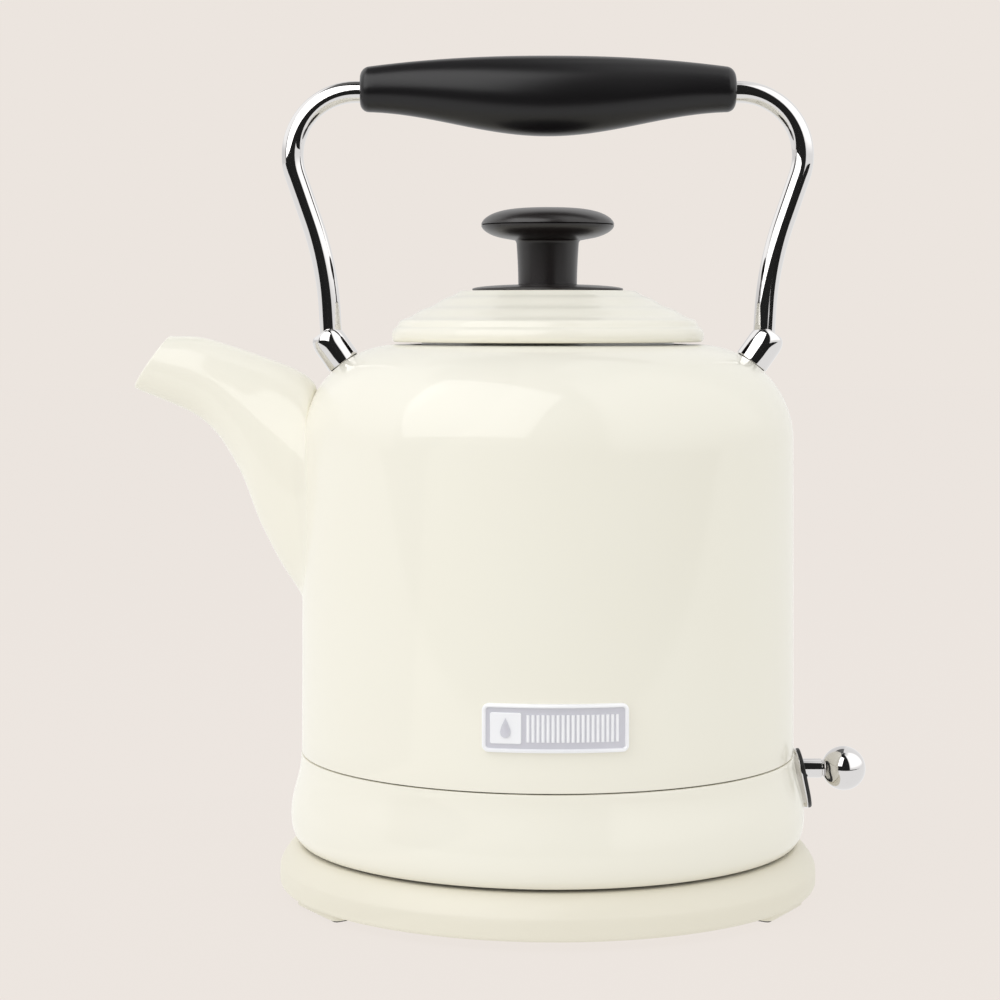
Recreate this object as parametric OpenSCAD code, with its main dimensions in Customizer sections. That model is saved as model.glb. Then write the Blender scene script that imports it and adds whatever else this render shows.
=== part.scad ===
// Electric kettle on its round power base, in millimetres.
// The origin is on the kettle's turning axis, on the plane that the feet stand on.
// The spout points along -X, the switch lever along +X, and the badge faces -Y.

/* [Body] */
// Outer radius of the steel body at its lower edge
body_r = 84.8; // [82:0.2:88]
// Outer radius of the steel body where the shoulder starts
body_top_r = 84.3; // [82:0.1:85]
// Wall of the steel body
body_wall = 1.2; // [0.8:0.1:1.6]
// Height of the seam between the body and its lower band
seam_z = 47.8; // [47.6:0.1:48.6]
// Radius of the rounded shoulder
shoulder_r = 33; // [32:0.5:34]
// Height at which the shoulder starts
shoulder_z = 155; // [154:1:158]
// Radius of the filling mouth
mouth_r = 47; // [46.8:0.1:48]

/* [Lower band] */
// Largest radius of the band
band_r = 88.7; // [88:0.1:90]
// Height of the band's lower edge
band_z = 18.2; // [18:0.1:19]
// Wall of the band
band_wall = 1.6; // [1.2:0.1:2]

/* [Lid] */
// Radius of the lid's rim
lid_r = 53.8; // [53:0.1:55]
// Height of the rim's lower edge
lid_z = 188.9; // [188.6:0.1:189.5]
// Height of the lid's flat top
lid_top_z = 206.4; // [205:0.2:208]
// Height of the soft ripples on the lid
lid_ripple = 0.35; // [0:0.05:0.6]

/* [Knob] */
// Radius of the knob
knob_r = 22.9; // [20:0.1:24]
// Height of the knob from its underside to its crown
knob_h = 11.4; // [10:0.2:13]
// Length of the knob's stem
stem_h = 15; // [12:0.5:18]
// Radius of the disc under the stem
flange_r = 26; // [24:0.5:29]

/* [Handle] */
// Radius of the handle's rod
rod_r = 3.75; // [3.25:0.05:4]
// Height of the rod's axis inside the grip
grip_axis_z = 274.7; // [272:0.1:278]
// Half the length of the grip
grip_half = 64.5; // [60:0.5:65.5]
// Tilt of the ferrules away from upright
ferrule_tilt = 35.2; // [34:0.1:36]

/* [Spout] */
// Wall of the spout
spout_wall = 1.6; // [1.2:0.1:2]
// Half of the spout's width at its root
root_half = 21; // [18:0.5:23]
// Half of the spout's width at its mouth
lip_half = 10.5; // [9:0.5:12]

/* [Switch lever] */
// Radius of the lever's ball
ball_r = 7.6; // [6.8:0.1:7.8]
// Height of the lever's axis at rest
lever_z = 41; // [40.8:0.1:41.2]
// Distance from the kettle's axis to the middle of the ball
ball_x = 102.8; // [101:0.2:104]

/* [Power base] */
// Largest radius of the power base
plate_r = 92.4; // [91.5:0.1:93]
// Height of its flat top
plate_z = 17; // [16.6:0.1:17.2]
// Height of the feet
foot_h = 3; // [2.8:0.1:3.2]

/* [Hidden] */
$fn = 96;

CREAM = "#f1edda";
CREAM_PLASTIC = "#e9e4cd";
BLACK = "#232120";
CHROME = "#c9c7c4";
STEEL = "#a7a9aa";
BRASS = "#c29a4e";
ALUMINIUM = "#bfc1c3";
SILICONE = "#dcdcd6";
WHITE_PLASTIC = "#efefef";

gap = 0.05;                                  // between pieces of one body that bear on each other
clear = 0.3;                                 // between pieces that move past each other
slip = 1;                                    // how far a cutter runs past the face it cuts
dome_x = body_top_r - shoulder_r;            // radius at which the shoulder becomes flat
mouth_z = shoulder_z + shoulder_r;           // height of the flat around the mouth
chamber_z = seam_z + 1;                      // underside of the steel floor of the chamber
floor_t = 1.2;

// A point of the cubic Bezier curve with control points p, and a path of n steps along it
function bez(p, t) =
    pow(1 - t, 3) * p[0] + 3 * t * pow(1 - t, 2) * p[1] + 3 * t * t * (1 - t) * p[2] + pow(t, 3) * p[3];
function curve(p, n) = [for (i = [0:n]) bez(p, i / n)];

// A point at share u, from 0 to 1, of the smooth curve that passes through all the points of p
function through(p, u) =
    let (
        n = len(p) - 1,
        s = min(floor(u * n), n - 1),
        t = u * n - s,
        b = p[s],
        c = p[s + 1],
        a = s == 0 ? 2 * b - c : p[s - 1],
        d = s == n - 1 ? 2 * c - b : p[s + 2]
    )
    (2 * b + (c - a) * t + (2 * a - 5 * b + 4 * c - d) * t * t + (3 * b - a - 3 * c + d) * pow(t, 3)) / 2;

// The same path moved sideways by g in its first coordinate
function inset(path, g) = [for (p = path) [p[0] - g, p[1]]];
function reversed(path) = [for (i = [len(path) - 1:-1:0]) path[i]];

// A closed surface through rings of equal size, where the last ring joins the first
module ring_loop(rings) {
    rows = len(rings);
    sides = len(rings[0]);
    polyhedron(
        points = [for (ring = rings) each ring],
        faces = [for (k = [0:rows - 1]) for (j = [0:sides - 1])
            let (
                a = k * sides + j,
                b = k * sides + (j + 1) % sides,
                c = ((k + 1) % rows) * sides + (j + 1) % sides,
                d = ((k + 1) % rows) * sides + j
            )
            each [[a, d, c], [a, c, b]]]
    );
}

// A solid through rings of equal size, closed by a flat face at each end
module ring_row(rings) {
    last = len(rings) - 1;
    sides = len(rings[0]);
    polyhedron(
        points = [for (ring = rings) each ring],
        faces = concat(
            [[for (j = [0:sides - 1]) j], [for (j = [sides - 1:-1:0]) last * sides + j]],
            [for (k = [0:last - 1]) for (j = [0:sides - 1])
                let (a = k * sides + j, b = k * sides + (j + 1) % sides)
                each [[a, a + sides, b + sides], [a, b + sides, b]]]
        )
    );
}

module at_angles(angles, r) {
    for (a = angles) rotate([0, 0, a]) translate([r, 0, 0]) children();
}

module bore(r, z0, z1) {
    translate([0, 0, z0]) cylinder(r = r, h = z1 - z0);
}

module disc(r_in, r_out, z0, z1) {
    rotate_extrude() translate([r_in, z0]) square([r_out - r_in, z1 - z0]);
}

// A rectangle with round corners, centred
module soft_rectangle(w, h, r) {
    square([w - 2 * r, h], center = true);
    square([w, h - 2 * r], center = true);
    for (x = [-1, 1], y = [-1, 1]) translate([x * (w / 2 - r), y * (h / 2 - r)]) circle(r = r);
}

// ---------------------------------------------------------------- power base
plate_wall = 2.2;
plate_foot_z = foot_h + 0.1;
foot_angles = [29, 151, 209, 331];
foot_in_r = 78;
foot_out_r = 90.2;
foot_half = 9.5;
plate_screw_r = 1.5;
plate_screw_pitch_r = 60;
plate_screw_angles = [45, 165, 285];
rest_ring_r = 66;
rest_ring_w = 3;
post_flange_r = 24;
post_r = 11;
post_top_z = 33;
ring_proud = 0.4;
pin_r = 2;
gland_z = 9.5;
gland_r = 4.5;
lead_r = 3.2;

plate_edge = concat(
    curve([[plate_r - 1.3, plate_foot_z], [plate_r - 0.5, plate_foot_z], [plate_r - 0.1, plate_foot_z + 0.6],
        [plate_r, plate_foot_z + 1.6]], 4),
    curve([[plate_r, 6], [plate_r, 8], [plate_r - 0.1, 9.3], [plate_r - 0.4, 10.3]], 3),
    curve([[plate_r - 0.8, 11], [plate_r - 2, 13.2], [plate_r - 4, 16], [plate_r - 6.6, plate_z]], 6)
);

module plate_cover() {
    boss_top = plate_z - plate_wall + 0.2;
    color(CREAM_PLASTIC) difference() {
        union() {
            rotate_extrude() polygon(concat(
                plate_edge,
                [[post_flange_r + 0.1, plate_z], [post_flange_r + 0.1, plate_z - plate_wall]],
                [[plate_r - 7, plate_z - plate_wall]],
                reversed(inset([for (p = plate_edge) if (p[1] < 12) p], plate_wall))
            ));
            disc(rest_ring_r, rest_ring_r + rest_ring_w, plate_z - 0.5, plate_z + 0.8);
            at_angles(plate_screw_angles, plate_screw_pitch_r) bore(4, foot_h + 2.2, boss_top);
        }
        at_angles(plate_screw_angles, plate_screw_pitch_r) bore(plate_screw_r + gap, 0, boss_top - 2);
        translate([0, plate_r - 6, gland_z]) rotate([-90, 0, 0]) cylinder(r = gland_r + gap, h = 10);
    }
}

// Four flat sectors along the edge of the base, g inside the outline of its feet and short of it by turn degrees
module foot_sectors(g, turn, z0, z1) {
    for (a = foot_angles) rotate([0, 0, a - foot_half + turn]) rotate_extrude(angle = 2 * (foot_half - turn))
        translate([foot_in_r + g, z0]) square([foot_out_r - foot_in_r - 2 * g, z1 - z0]);
}

module plate_bottom() {
    color(CREAM_PLASTIC) difference() {
        union() {
            bore(plate_r - 1.3 - plate_wall - 0.2, foot_h, foot_h + 2);
            foot_sectors(0, 0, 0.7, foot_h + gap);
        }
        foot_sectors(1.2, 0.9, -slip, 1.7);
        at_angles(plate_screw_angles, plate_screw_pitch_r) {
            bore(plate_screw_r + gap, 0, 8);
            bore(3.2, 0, foot_h + 1);
        }
        translate([0, plate_r - 11, gland_z]) rotate([-90, 0, 0]) cylinder(r = gland_r + 0.5 + gap, h = 12);
    }
}

module rubber_feet() {
    color(BLACK) foot_sectors(1.2 + gap, 1, 0, 1.7 - gap);
}

module base_screws() {
    color(STEEL) at_angles(plate_screw_angles, plate_screw_pitch_r) {
        bore(plate_screw_r, foot_h + 0.5, 12);
        bore(2.9, foot_h - 0.6, foot_h + 0.9);
    }
}

module connector_post() {
    color(BLACK) difference() {
        union() {
            bore(post_flange_r, plate_z - plate_wall - 1, plate_z);
            bore(post_r, plate_z - slip, post_top_z);
        }
        bore(pin_r + gap, plate_z - 4, post_top_z + slip);
        for (z = [21, 26]) disc(post_r - 1, post_r + slip, z, z + 3);
    }
}

module contact_rings() {
    color(BRASS) for (z = [21, 26]) disc(post_r - 1 + gap, post_r + ring_proud, z + gap, z + 3 - gap);
}

module centre_pin() {
    color(BRASS) {
        bore(pin_r, plate_z - 3, post_top_z + 4);
        translate([0, 0, post_top_z + 4]) cylinder(r1 = pin_r, r2 = 0.8, h = 1.2);
    }
}

module terminal_block() {
    color(WHITE_PLASTIC) translate([-14, 40, foot_h + 2 + gap]) difference() {
        cube([28, 14, 8]);
        for (x = [5, 14, 23]) translate([x, 7, 3]) cylinder(r = 1.8, h = 6);
    }
}

module cord_gland() {
    y_in = plate_r - 10;
    color(BLACK) translate([0, y_in, gland_z]) rotate([-90, 0, 0]) difference() {
        union() {
            cylinder(r = gland_r + 0.5, h = 3);
            cylinder(r = gland_r, h = plate_r - y_in + 1.2);
        }
        translate([0, 0, -slip]) cylinder(r = lead_r, h = 14);
    }
}

// ---------------------------------------------------------------- round socket
socket_r = 24;
socket_top_z = 37.5;

// The ring in the kettle's underside that drops over the post of the power base
module control_socket() {
    color(BLACK) rotate_extrude() polygon([
        [post_r + ring_proud + clear, plate_z + 4], [post_r + ring_proud + 3, plate_z + 1.4],
        [socket_r, plate_z + 1.4], [socket_r, plate_z + 4], [socket_r - 4, plate_z + 6],
        [socket_r - 6, socket_top_z], [post_r + ring_proud + clear, socket_top_z]
    ]);
}

// ---------------------------------------------------------------- body
pour_hole_r = 13;
pour_hole_z = 140;
ferrule_x = dome_x + shoulder_r * sin(ferrule_tilt);
ferrule_z = shoulder_z + shoulder_r * cos(ferrule_tilt);
handle_screw_r = 2;

// Half of the body's outline, g inside its outer skin and open below at height foot
module body_outline(g, foot) {
    polygon([
        [0, foot], [body_r - g, foot], [body_top_r - g, shoulder_z], [dome_x, shoulder_z],
        [dome_x, mouth_z - g], [0, mouth_z - g]
    ]);
    intersection() {
        translate([dome_x, shoulder_z]) circle(r = shoulder_r - g);
        translate([dome_x, shoulder_z]) square(shoulder_r + slip);
    }
}

// Places its children on the shoulder at the handle's two ends, with +Z along the surface's normal
module on_shoulder(sides) {
    for (s = sides) mirror([s, 0, 0]) translate([ferrule_x, 0, ferrule_z]) rotate([0, ferrule_tilt, 0]) children();
}

module body_shell() {
    color(CREAM) difference() {
        rotate_extrude() {
            difference() {
                body_outline(0, seam_z + 0.3);
                body_outline(body_wall, seam_z - slip);
                square([mouth_r, mouth_z + slip]);
            }
            translate([mouth_r, mouth_z - 8]) square([body_wall, 7.5]);
        }
        translate([0, 0, pour_hole_z]) rotate([0, -90, 0]) cylinder(r = pour_hole_r, h = body_r + 5);
        on_shoulder([0, 1]) bore(handle_screw_r + 0.15, -5, 3);
    }
}

// ---------------------------------------------------------------- spout
spout_sides = 36;
spout_rows = 22;
spout_lower = [[-84.6, 98.2], [-95.5, 109], [-102.3, 125], [-108.2, 145.5], [-119.3, 162.1], [-142.7, 173.1]];
spout_upper = [[-84.2, 171.6], [-92, 177.4], [-102, 182.9], [-111.3, 187.4], [-119.8, 190.4], [-130.4, 190.9]];

function spout_half(u) = root_half + (lip_half - root_half) * (1 - pow(1 - u, 2.2));

// How far the body's skin is from the kettle's axis at height z
function skin_r(z) = z < shoulder_z
    ? body_r + (body_top_r - body_r) * (z - seam_z) / (shoulder_z - seam_z)
    : dome_x + sqrt(pow(shoulder_r, 2) - pow(z - shoulder_z, 2));

// One ring of the spout at share u of its length, g inside its outer skin; the first ring lies on the body
function spout_ring(u, g) =
    let (
        low = through(spout_lower, u),
        high = through(spout_upper, u),
        mid = (low + high) / 2,
        arm = (high - low) / 2 * (1 - g / norm((high - low) / 2)),
        half = spout_half(u) - g
    )
    [for (j = [0:spout_sides - 1])
        let (
            a = 360 * j / spout_sides,
            y = half * cos(a),
            p = mid + arm * sin(a),
            root = -sqrt(pow(skin_r(min(p[1], 180)) + 2 * gap, 2) - y * y)
        )
        [p[0] + (root - p[0]) * pow(1 - u, 3), y, p[1]]];

module spout() {
    color(CREAM) ring_loop(concat(
        [for (i = [0:spout_rows]) spout_ring(i / spout_rows, 0)],
        [for (i = [spout_rows:-1:0]) spout_ring(i / spout_rows, spout_wall)]
    ));
}

// ---------------------------------------------------------------- lower band
band_edge = concat(
    curve([[band_r - 3, band_z], [band_r - 0.6, band_z + 2], [band_r + 0.25, band_z + 6.5],
        [band_r - 0.4, band_z + 12]], 8),
    [for (i = [1:8]) bez([[band_r - 0.4, band_z + 12], [band_r - 1.2, band_z + 18],
        [body_r + 0.2, band_z + 22.5], [body_r + 0.2, seam_z - 0.1]], i / 8)]
);

slot_tilt = 11.7;
slot_x = 86.8;
slot_z = 37.2;
bezel_h = 21.1;
bezel_w = 15.4;
bezel_rim = 2;
bezel_proud = 2.8;
lip_t = 1.15;
liner_wall = 0.6;

// Places its children on the band around the lever, with +Z along the band's normal and +X downwards
module on_slot() {
    translate([slot_x, 0, slot_z]) rotate([0, 90 - slot_tilt, 0]) children();
}

// A flat pill shape, g inside the bezel's outline
module pill(g) {
    soft_rectangle(bezel_h - 2 * g, bezel_w - 2 * g, bezel_w / 2 - g - gap);
}

module base_band() {
    color(CREAM) difference() {
        rotate_extrude() polygon(concat(band_edge, reversed(inset(band_edge, band_wall))));
        on_slot() translate([0, 0, -8]) linear_extrude(12) pill(bezel_rim);
    }
}

module lever_bezel() {
    color(CHROME) difference() {
        on_slot() translate([0, 0, -1.2]) linear_extrude(bezel_proud - lip_t + 1.2) difference() {
            pill(0);
            pill(bezel_rim + gap);
        }
        rotate_extrude() polygon(concat([[0, band_z]], [for (p = band_edge) p + [gap, 0]], [[0, seam_z]]));
    }
}

module lever_slot_liner() {
    color(BLACK) on_slot() difference() {
        union() {
            translate([0, 0, -2.5]) linear_extrude(2.5 + bezel_proud - 0.2) pill(bezel_rim + 2 * gap);
            translate([0, 0, bezel_proud - lip_t + gap]) linear_extrude(lip_t - gap) pill(0.1);
        }
        translate([0, 0, -3]) linear_extrude(3 + bezel_proud + slip) pill(bezel_rim + liner_wall);
        translate([0, 0, bezel_proud - 0.8]) linear_extrude(0.8 + slip) pill(bezel_rim + liner_wall - 0.35);
    }
}

// ---------------------------------------------------------------- underside and heating
cover_screw_r = 1.5;
cover_screw_pitch_r = 72;
cover_screw_angles = [60, 180, 300];
stud_r = 3.5;
diffuser_r = 55;
element_ring_r = 48;
element_r = 3.4;
steam_angle = 25;
steam_pitch_r = 74;
steam_r = 4;

module at_steam_tube() {
    rotate([0, 0, steam_angle]) translate([steam_pitch_r, 0, 0]) children();
}

module bottom_cover() {
    color(BLACK) difference() {
        bore(band_r - 3 - band_wall - 0.2, band_z, band_z + 2);
        bore(socket_r + clear, 0, 30);
        at_angles(cover_screw_angles, cover_screw_pitch_r) {
            bore(cover_screw_r + gap, 0, 30);
            bore(3, 0, band_z + 1);
        }
    }
}

module bottom_screws() {
    color(STEEL) at_angles(cover_screw_angles, cover_screw_pitch_r) {
        bore(cover_screw_r, band_z + 1, 32);
        bore(2.8, band_z + 0.1, band_z + 1);
    }
}

module element_plate() {
    color(STEEL) difference() {
        union() {
            bore(body_r - body_wall - gap, chamber_z, chamber_z + floor_t);
            at_angles(cover_screw_angles, cover_screw_pitch_r) bore(stud_r, band_z + 2 + gap, chamber_z + 0.5);
        }
        at_angles(cover_screw_angles, cover_screw_pitch_r) bore(cover_screw_r + gap, 0, 34);
        at_steam_tube() bore(steam_r + gap, 40, 60);
    }
}

module diffuser_plate() {
    color(ALUMINIUM) bore(diffuser_r, chamber_z - 1.8, chamber_z - gap);
}

module heating_element() {
    open_half = 28;
    z = chamber_z - 1.8 - element_r - gap;
    color(STEEL) {
        translate([0, 0, z]) rotate([0, 0, open_half]) rotate_extrude(angle = 360 - 2 * open_half)
            translate([element_ring_r, 0]) circle(r = element_r, $fn = 32);
        for (s = [-1, 1]) rotate([0, 0, s * (open_half + 4)]) translate([element_ring_r, 0, 0]) bore(1.6, 34, z);
    }
}

module control_unit() {
    color(WHITE_PLASTIC) difference() {
        union() {
            bore(29, socket_top_z + 2.2, chamber_z - 4);
            translate([-24, -16, socket_top_z + 2.2]) cube([48, 32, 5.8]);
        }
        for (y = [-9, 9]) translate([-14, y, 0]) bore(8.2, chamber_z - 5, 60);
        for (x = [8, 18]) translate([x, 0, 0]) bore(2.2, chamber_z - 8, 60);
    }
}

module bimetal_discs() {
    color(BRASS) for (y = [-9, 9]) translate([-14, y, 0]) bore(7.6, chamber_z - 5 + gap, chamber_z - 4.2);
}

module steam_tube() {
    color(WHITE_PLASTIC) at_steam_tube() difference() {
        union() {
            bore(steam_r, 42, 172);
            bore(steam_r + 1.6, chamber_z + floor_t + gap, chamber_z + floor_t + 2);
        }
        bore(steam_r - 1, 40, 174);
    }
}

// ---------------------------------------------------------------- switch lever
pivot_x = 64;
pivot_pin_r = 1.5;
rocker_half_w = 5;
ear_t = 2;
lever_rod_r = 3.3;

module along_y(r, half) {
    translate([pivot_x, 0, lever_z]) rotate([90, 0, 0]) cylinder(r = r, h = 2 * half, center = true);
}

module along_x(r, x0, x1) {
    translate([x0, 0, lever_z]) rotate([0, 90, 0]) cylinder(r = r, h = x1 - x0);
}

module lever_bracket() {
    ear_y = rocker_half_w + clear;
    top = chamber_z - gap;
    color(STEEL) difference() {
        union() {
            translate([pivot_x - 7, -ear_y - ear_t, top - 1.5]) cube([14, 2 * (ear_y + ear_t), 1.5]);
            for (s = [0, 1]) mirror([0, s, 0]) translate([pivot_x - 4, ear_y, lever_z - 4])
                cube([8, ear_t, top - lever_z + 3.5]);
        }
        along_y(pivot_pin_r + gap / 2, 20);
    }
}

module lever_pin() {
    color(STEEL) along_y(pivot_pin_r, rocker_half_w + clear + ear_t + 1);
}

module lever_rocker() {
    color(WHITE_PLASTIC) difference() {
        union() {
            along_y(rocker_half_w, rocker_half_w);
            along_x(4.6, pivot_x, pivot_x + 12);
            translate([pivot_x - 14, -3, lever_z - 1.5]) cube([14, 6, 3]);
        }
        along_y(pivot_pin_r + gap, 20);
        along_x(lever_rod_r + gap, pivot_x + 4, pivot_x + 20);
    }
}

module lever_stem() {
    color(CHROME) along_x(lever_rod_r, pivot_x + 4 + gap, ball_x - 4);
}

module lever_ball() {
    color(CHROME) difference() {
        translate([ball_x, 0, lever_z]) rotate([0, 90, 0]) rotate_extrude() intersection() {
            circle(r = ball_r);
            translate([0, -ball_r]) square([ball_r, 2 * ball_r]);
        }
        along_x(lever_rod_r + gap, ball_x - 20, ball_x - 4 + gap);
    }
}

// ---------------------------------------------------------------- badge
badge_w = 46.3;
badge_h = 15.4;
badge_z = 68.8;
badge_skin_r = body_r - 0.02;

// A curved plate on the front of the body, cut from a ring between two radii by a flat outline
module on_front(r_in, r_out) {
    intersection() {
        disc(r_in, r_out, badge_z - badge_h, badge_z + badge_h);
        translate([0, -body_r + 8, badge_z]) rotate([90, 0, 0]) linear_extrude(20) children();
    }
}

module badge_frame() {
    color(CHROME) on_front(badge_skin_r, badge_skin_r + 1.6) difference() {
        soft_rectangle(badge_w, badge_h, 2.2);
        soft_rectangle(badge_w - 2.6, badge_h - 2.6, 1.1);
    }
}

module badge_panel() {
    color(ALUMINIUM) on_front(badge_skin_r, badge_skin_r + 0.8)
        soft_rectangle(badge_w - 2.6 - 2 * gap, badge_h - 2.6 - 2 * gap, 1.1);
}

// ---------------------------------------------------------------- handle
bend_r = 21.8;
bend_past = 19;
lean_len = 17;
sweep_r = 114;
foot_lean = 3;
rod_tail = 7;
elbow = [66, grip_axis_z - bend_r];
lean_top = elbow + bend_r * [cos(bend_past), -sin(bend_past)];
lean_end = lean_top - lean_len * [sin(bend_past), cos(bend_past)];
sweep_mid = lean_end + sweep_r * [cos(bend_past), -sin(bend_past)];
tail_top = sweep_mid + sweep_r * [-cos(foot_lean), sin(foot_lean)];
ferrule_r = 5.95;
ferrule_h = 12.5;
gasket_t = 0.5;
ferrule_skirt = 0.6;
grip_sides = 32;
grip_rows = 26;

// Stations of the rod's right half, from the middle of the grip down to its end: [x, z, lean away from level]
rod_path = concat(
    [[0, grip_axis_z, 0]],
    [for (a = [0:12:108]) concat(elbow + bend_r * [sin(a), cos(a)], a), concat(lean_top, 90 + bend_past)],
    [for (a = [bend_past:-2:foot_lean]) concat(sweep_mid + sweep_r * [-cos(a), sin(a)], 90 + a)],
    [concat(tail_top - rod_tail * [sin(foot_lean), cos(foot_lean)], 90 + foot_lean)]
);
rod_sides = 32;

function rod_ring(s, side) =
    [for (j = [0:rod_sides - 1])
        let (a = 360 * j / rod_sides, out = rod_r * sin(a))
        [side * (s[0] + out * sin(s[2])), rod_r * cos(a), s[1] + out * cos(s[2])]];

module straight_down(from, lean, length, r) {
    translate([from[0], 0, from[1]]) rotate([0, 180 + lean, 0]) cylinder(r = r, h = length);
}

module handle_rod() {
    tail = len(rod_path) - 1;
    color(CHROME) ring_row(concat(
        [for (i = [tail:-1:1]) rod_ring(rod_path[i], -1)],
        [for (i = [0:tail]) rod_ring(rod_path[i], 1)]
    ));
}

module ferrule_body() {
    dome = curve([[ferrule_r, 7], [ferrule_r, 10.2], [5.2, 12], [3.6, ferrule_h]], 8);
    difference() {
        on_shoulder([0]) difference() {
            rotate_extrude() polygon(concat([[0, gasket_t], [ferrule_r - ferrule_skirt, gasket_t],
                [ferrule_r - ferrule_skirt, -0.05], [ferrule_r - 0.15, -0.05], [ferrule_r, 0.1]],
                dome, [[0, ferrule_h]]));
            bore(handle_screw_r + gap, 0, 5);
        }
        straight_down(tail_top + 20 * [sin(foot_lean), cos(foot_lean)], foot_lean, 20 + rod_tail + gap, rod_r + gap);
    }
}

module ferrule_right() {
    color(CHROME) ferrule_body();
}

module ferrule_left() {
    color(CHROME) mirror([1, 0, 0]) ferrule_body();
}

module ferrule_gaskets() {
    color(BLACK) difference() {
        on_shoulder([0, 1]) difference() {
            bore(ferrule_r - ferrule_skirt - gap, -1.2, gasket_t - gap);
            bore(handle_screw_r + 0.15, -2, 2);
        }
        rotate_extrude($fn = 360) translate([dome_x, shoulder_z]) circle(r = shoulder_r + 0.02, $fn = 360);
    }
}

module handle_screws() {
    color(STEEL) on_shoulder([0, 1]) {
        bore(handle_screw_r, -body_wall - 1.8, 4.6);
        bore(3.6, -body_wall - 3.8, -body_wall - 1.2);
    }
}

// Half heights and middle of the grip at x, from its gently arched top and its bellied underside
function grip_top(x) = 287.1 - 4.1 * pow(abs(x) / grip_half, 2.2);
function grip_low(x) = 263.65 - 4.15 * cos(180 * x / grip_half);
function grip_half_y(x) = 7.6 + 4.6 * (1 + cos(180 * x / grip_half)) / 2;
function grip_round(x) = sqrt(max(0, 1 - pow(max(0, (abs(x) - grip_half + 2) / 2), 2)));

function grip_ring(x) =
    let (
        mid = (grip_top(x) + grip_low(x)) / 2,
        shrink = 2 * (1 - grip_round(x)),
        half_z = (grip_top(x) - grip_low(x)) / 2 - shrink,
        half_y = grip_half_y(x) - shrink
    )
    [for (j = [0:grip_sides - 1])
        let (a = 360 * j / grip_sides) [x, half_y * cos(a), mid + half_z * sin(a)]];

function grip_bore(x) =
    [for (j = [0:grip_sides - 1])
        let (a = 360 * j / grip_sides) [x, (rod_r + 0.15) * cos(a), grip_axis_z + (rod_r + 0.15) * sin(a)]];

// Stations along the grip, closer together where its ends are rounded
grip_stations = concat(
    [for (a = [0:22.5:67.5]) -grip_half + 2 - 2 * cos(a)],
    [for (i = [0:grip_rows]) (2 * i / grip_rows - 1) * (grip_half - 2)],
    [for (a = [67.5:-22.5:0]) grip_half - 2 + 2 * cos(a)]
);

module grip() {
    color(BLACK) ring_loop(concat(
        [for (x = grip_stations) grip_ring(x)],
        [for (x = reversed(grip_stations)) grip_bore(x)]
    ));
}

// ---------------------------------------------------------------- lid
lid_slope = 0.49;
ripple_pitch = 7.8;
ripple_first_r = 51.2;
lid_flat_r = 30;
lid_wall = 1.5;
liner_r = 43.5;
liner_z = 178.8;
knob_screw_r = 2;

function lid_height(r) =
    lid_top_z - lid_slope * (r - lid_flat_r)
    + lid_ripple * (cos(360 * (r - ripple_first_r) / ripple_pitch) - 1) * min(1, (r - lid_flat_r) / 3);

module lid_cover() {
    rim = curve([[lid_r - 1, lid_z], [lid_r + 0.35, lid_z + 0.6], [lid_r + 0.35, lid_z + 4.2],
        [lid_r - 1.6, lid_z + 5]], 8);
    top = [for (r = [51:-0.75:lid_flat_r]) [r, lid_height(r)]];
    color(CREAM) rotate_extrude() polygon(concat(
        rim, top,
        [[knob_screw_r + gap, lid_top_z], [knob_screw_r + gap, lid_top_z - lid_wall]],
        [[lid_flat_r - 1, lid_top_z - lid_wall], [50, 194.5], [52, 192.6], [52, lid_z]]
    ));
}

module lid_liner() {
    color(STEEL) rotate_extrude() polygon([
        [0, liner_z], [liner_r, liner_z], [liner_r, 189.6], [51.8, 189.6], [51.8, 190.6], [liner_r - 1, 190.6],
        [liner_r - 1, liner_z + 1], [0, liner_z + 1]
    ]);
}

module lid_seal() {
    color(SILICONE) rotate_extrude() polygon([
        [liner_r + gap, 181], [mouth_r - clear, 183], [mouth_r - clear, 184], [liner_r + gap, 185.5]
    ]);
}

module knob_flange() {
    top = curve([[flange_r, lid_top_z + 0.9], [flange_r - 1.5, lid_top_z + 1.9],
        [flange_r - 10, lid_top_z + 2.2], [10.1, lid_top_z + 2.2]], 8);
    color(BLACK) rotate_extrude() polygon(concat(
        [[knob_screw_r + gap, lid_top_z + gap], [flange_r, lid_top_z + gap]], top,
        [[knob_screw_r + gap, lid_top_z + 2.2]]
    ));
}

knob_z = lid_top_z + 2.2 + stem_h;
knob_seam_z = knob_z + 0.48 * knob_h;

// The knob's outline at angle a, from -90 under it to 90 at its crown
function knob_point(a) =
    [knob_r * pow(cos(a), 0.62), knob_seam_z + (a < 0 ? knob_seam_z - knob_z : knob_z + knob_h - knob_seam_z)
        * sign(a) * pow(abs(sin(a)), 1.1)];

module knob_stem() {
    color(BLACK) rotate_extrude() difference() {
        polygon(concat(
            [[0, lid_top_z + 2.2 + gap], [10.1, lid_top_z + 2.2 + gap], [10.7, knob_z - 1], [11.6, knob_z + 0.3]],
            [for (a = [-55:11:0]) knob_point(a)], [[0, knob_seam_z]]
        ));
        square([knob_screw_r + gap, knob_z + 1]);
    }
}

module knob_cap() {
    color(BLACK) rotate_extrude() polygon(concat(
        [[0, knob_seam_z + 0.15], [knob_r - 0.3, knob_seam_z + 0.15]],
        [for (a = [6:6:84]) knob_point(a)], [[0, knob_z + knob_h]]
    ));
}

module knob_screw() {
    color(STEEL) {
        bore(knob_screw_r, lid_top_z - lid_wall - 3, knob_z);
        bore(4, lid_top_z - lid_wall - 3, lid_top_z - lid_wall - gap);
    }
}

// ---------------------------------------------------------------- spout filter
filter_x = -80.6;
filter_t = 1.8;
filter_r = 16.5;
mesh_pitch = 2.4;
mesh_bar = 0.7;

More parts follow.
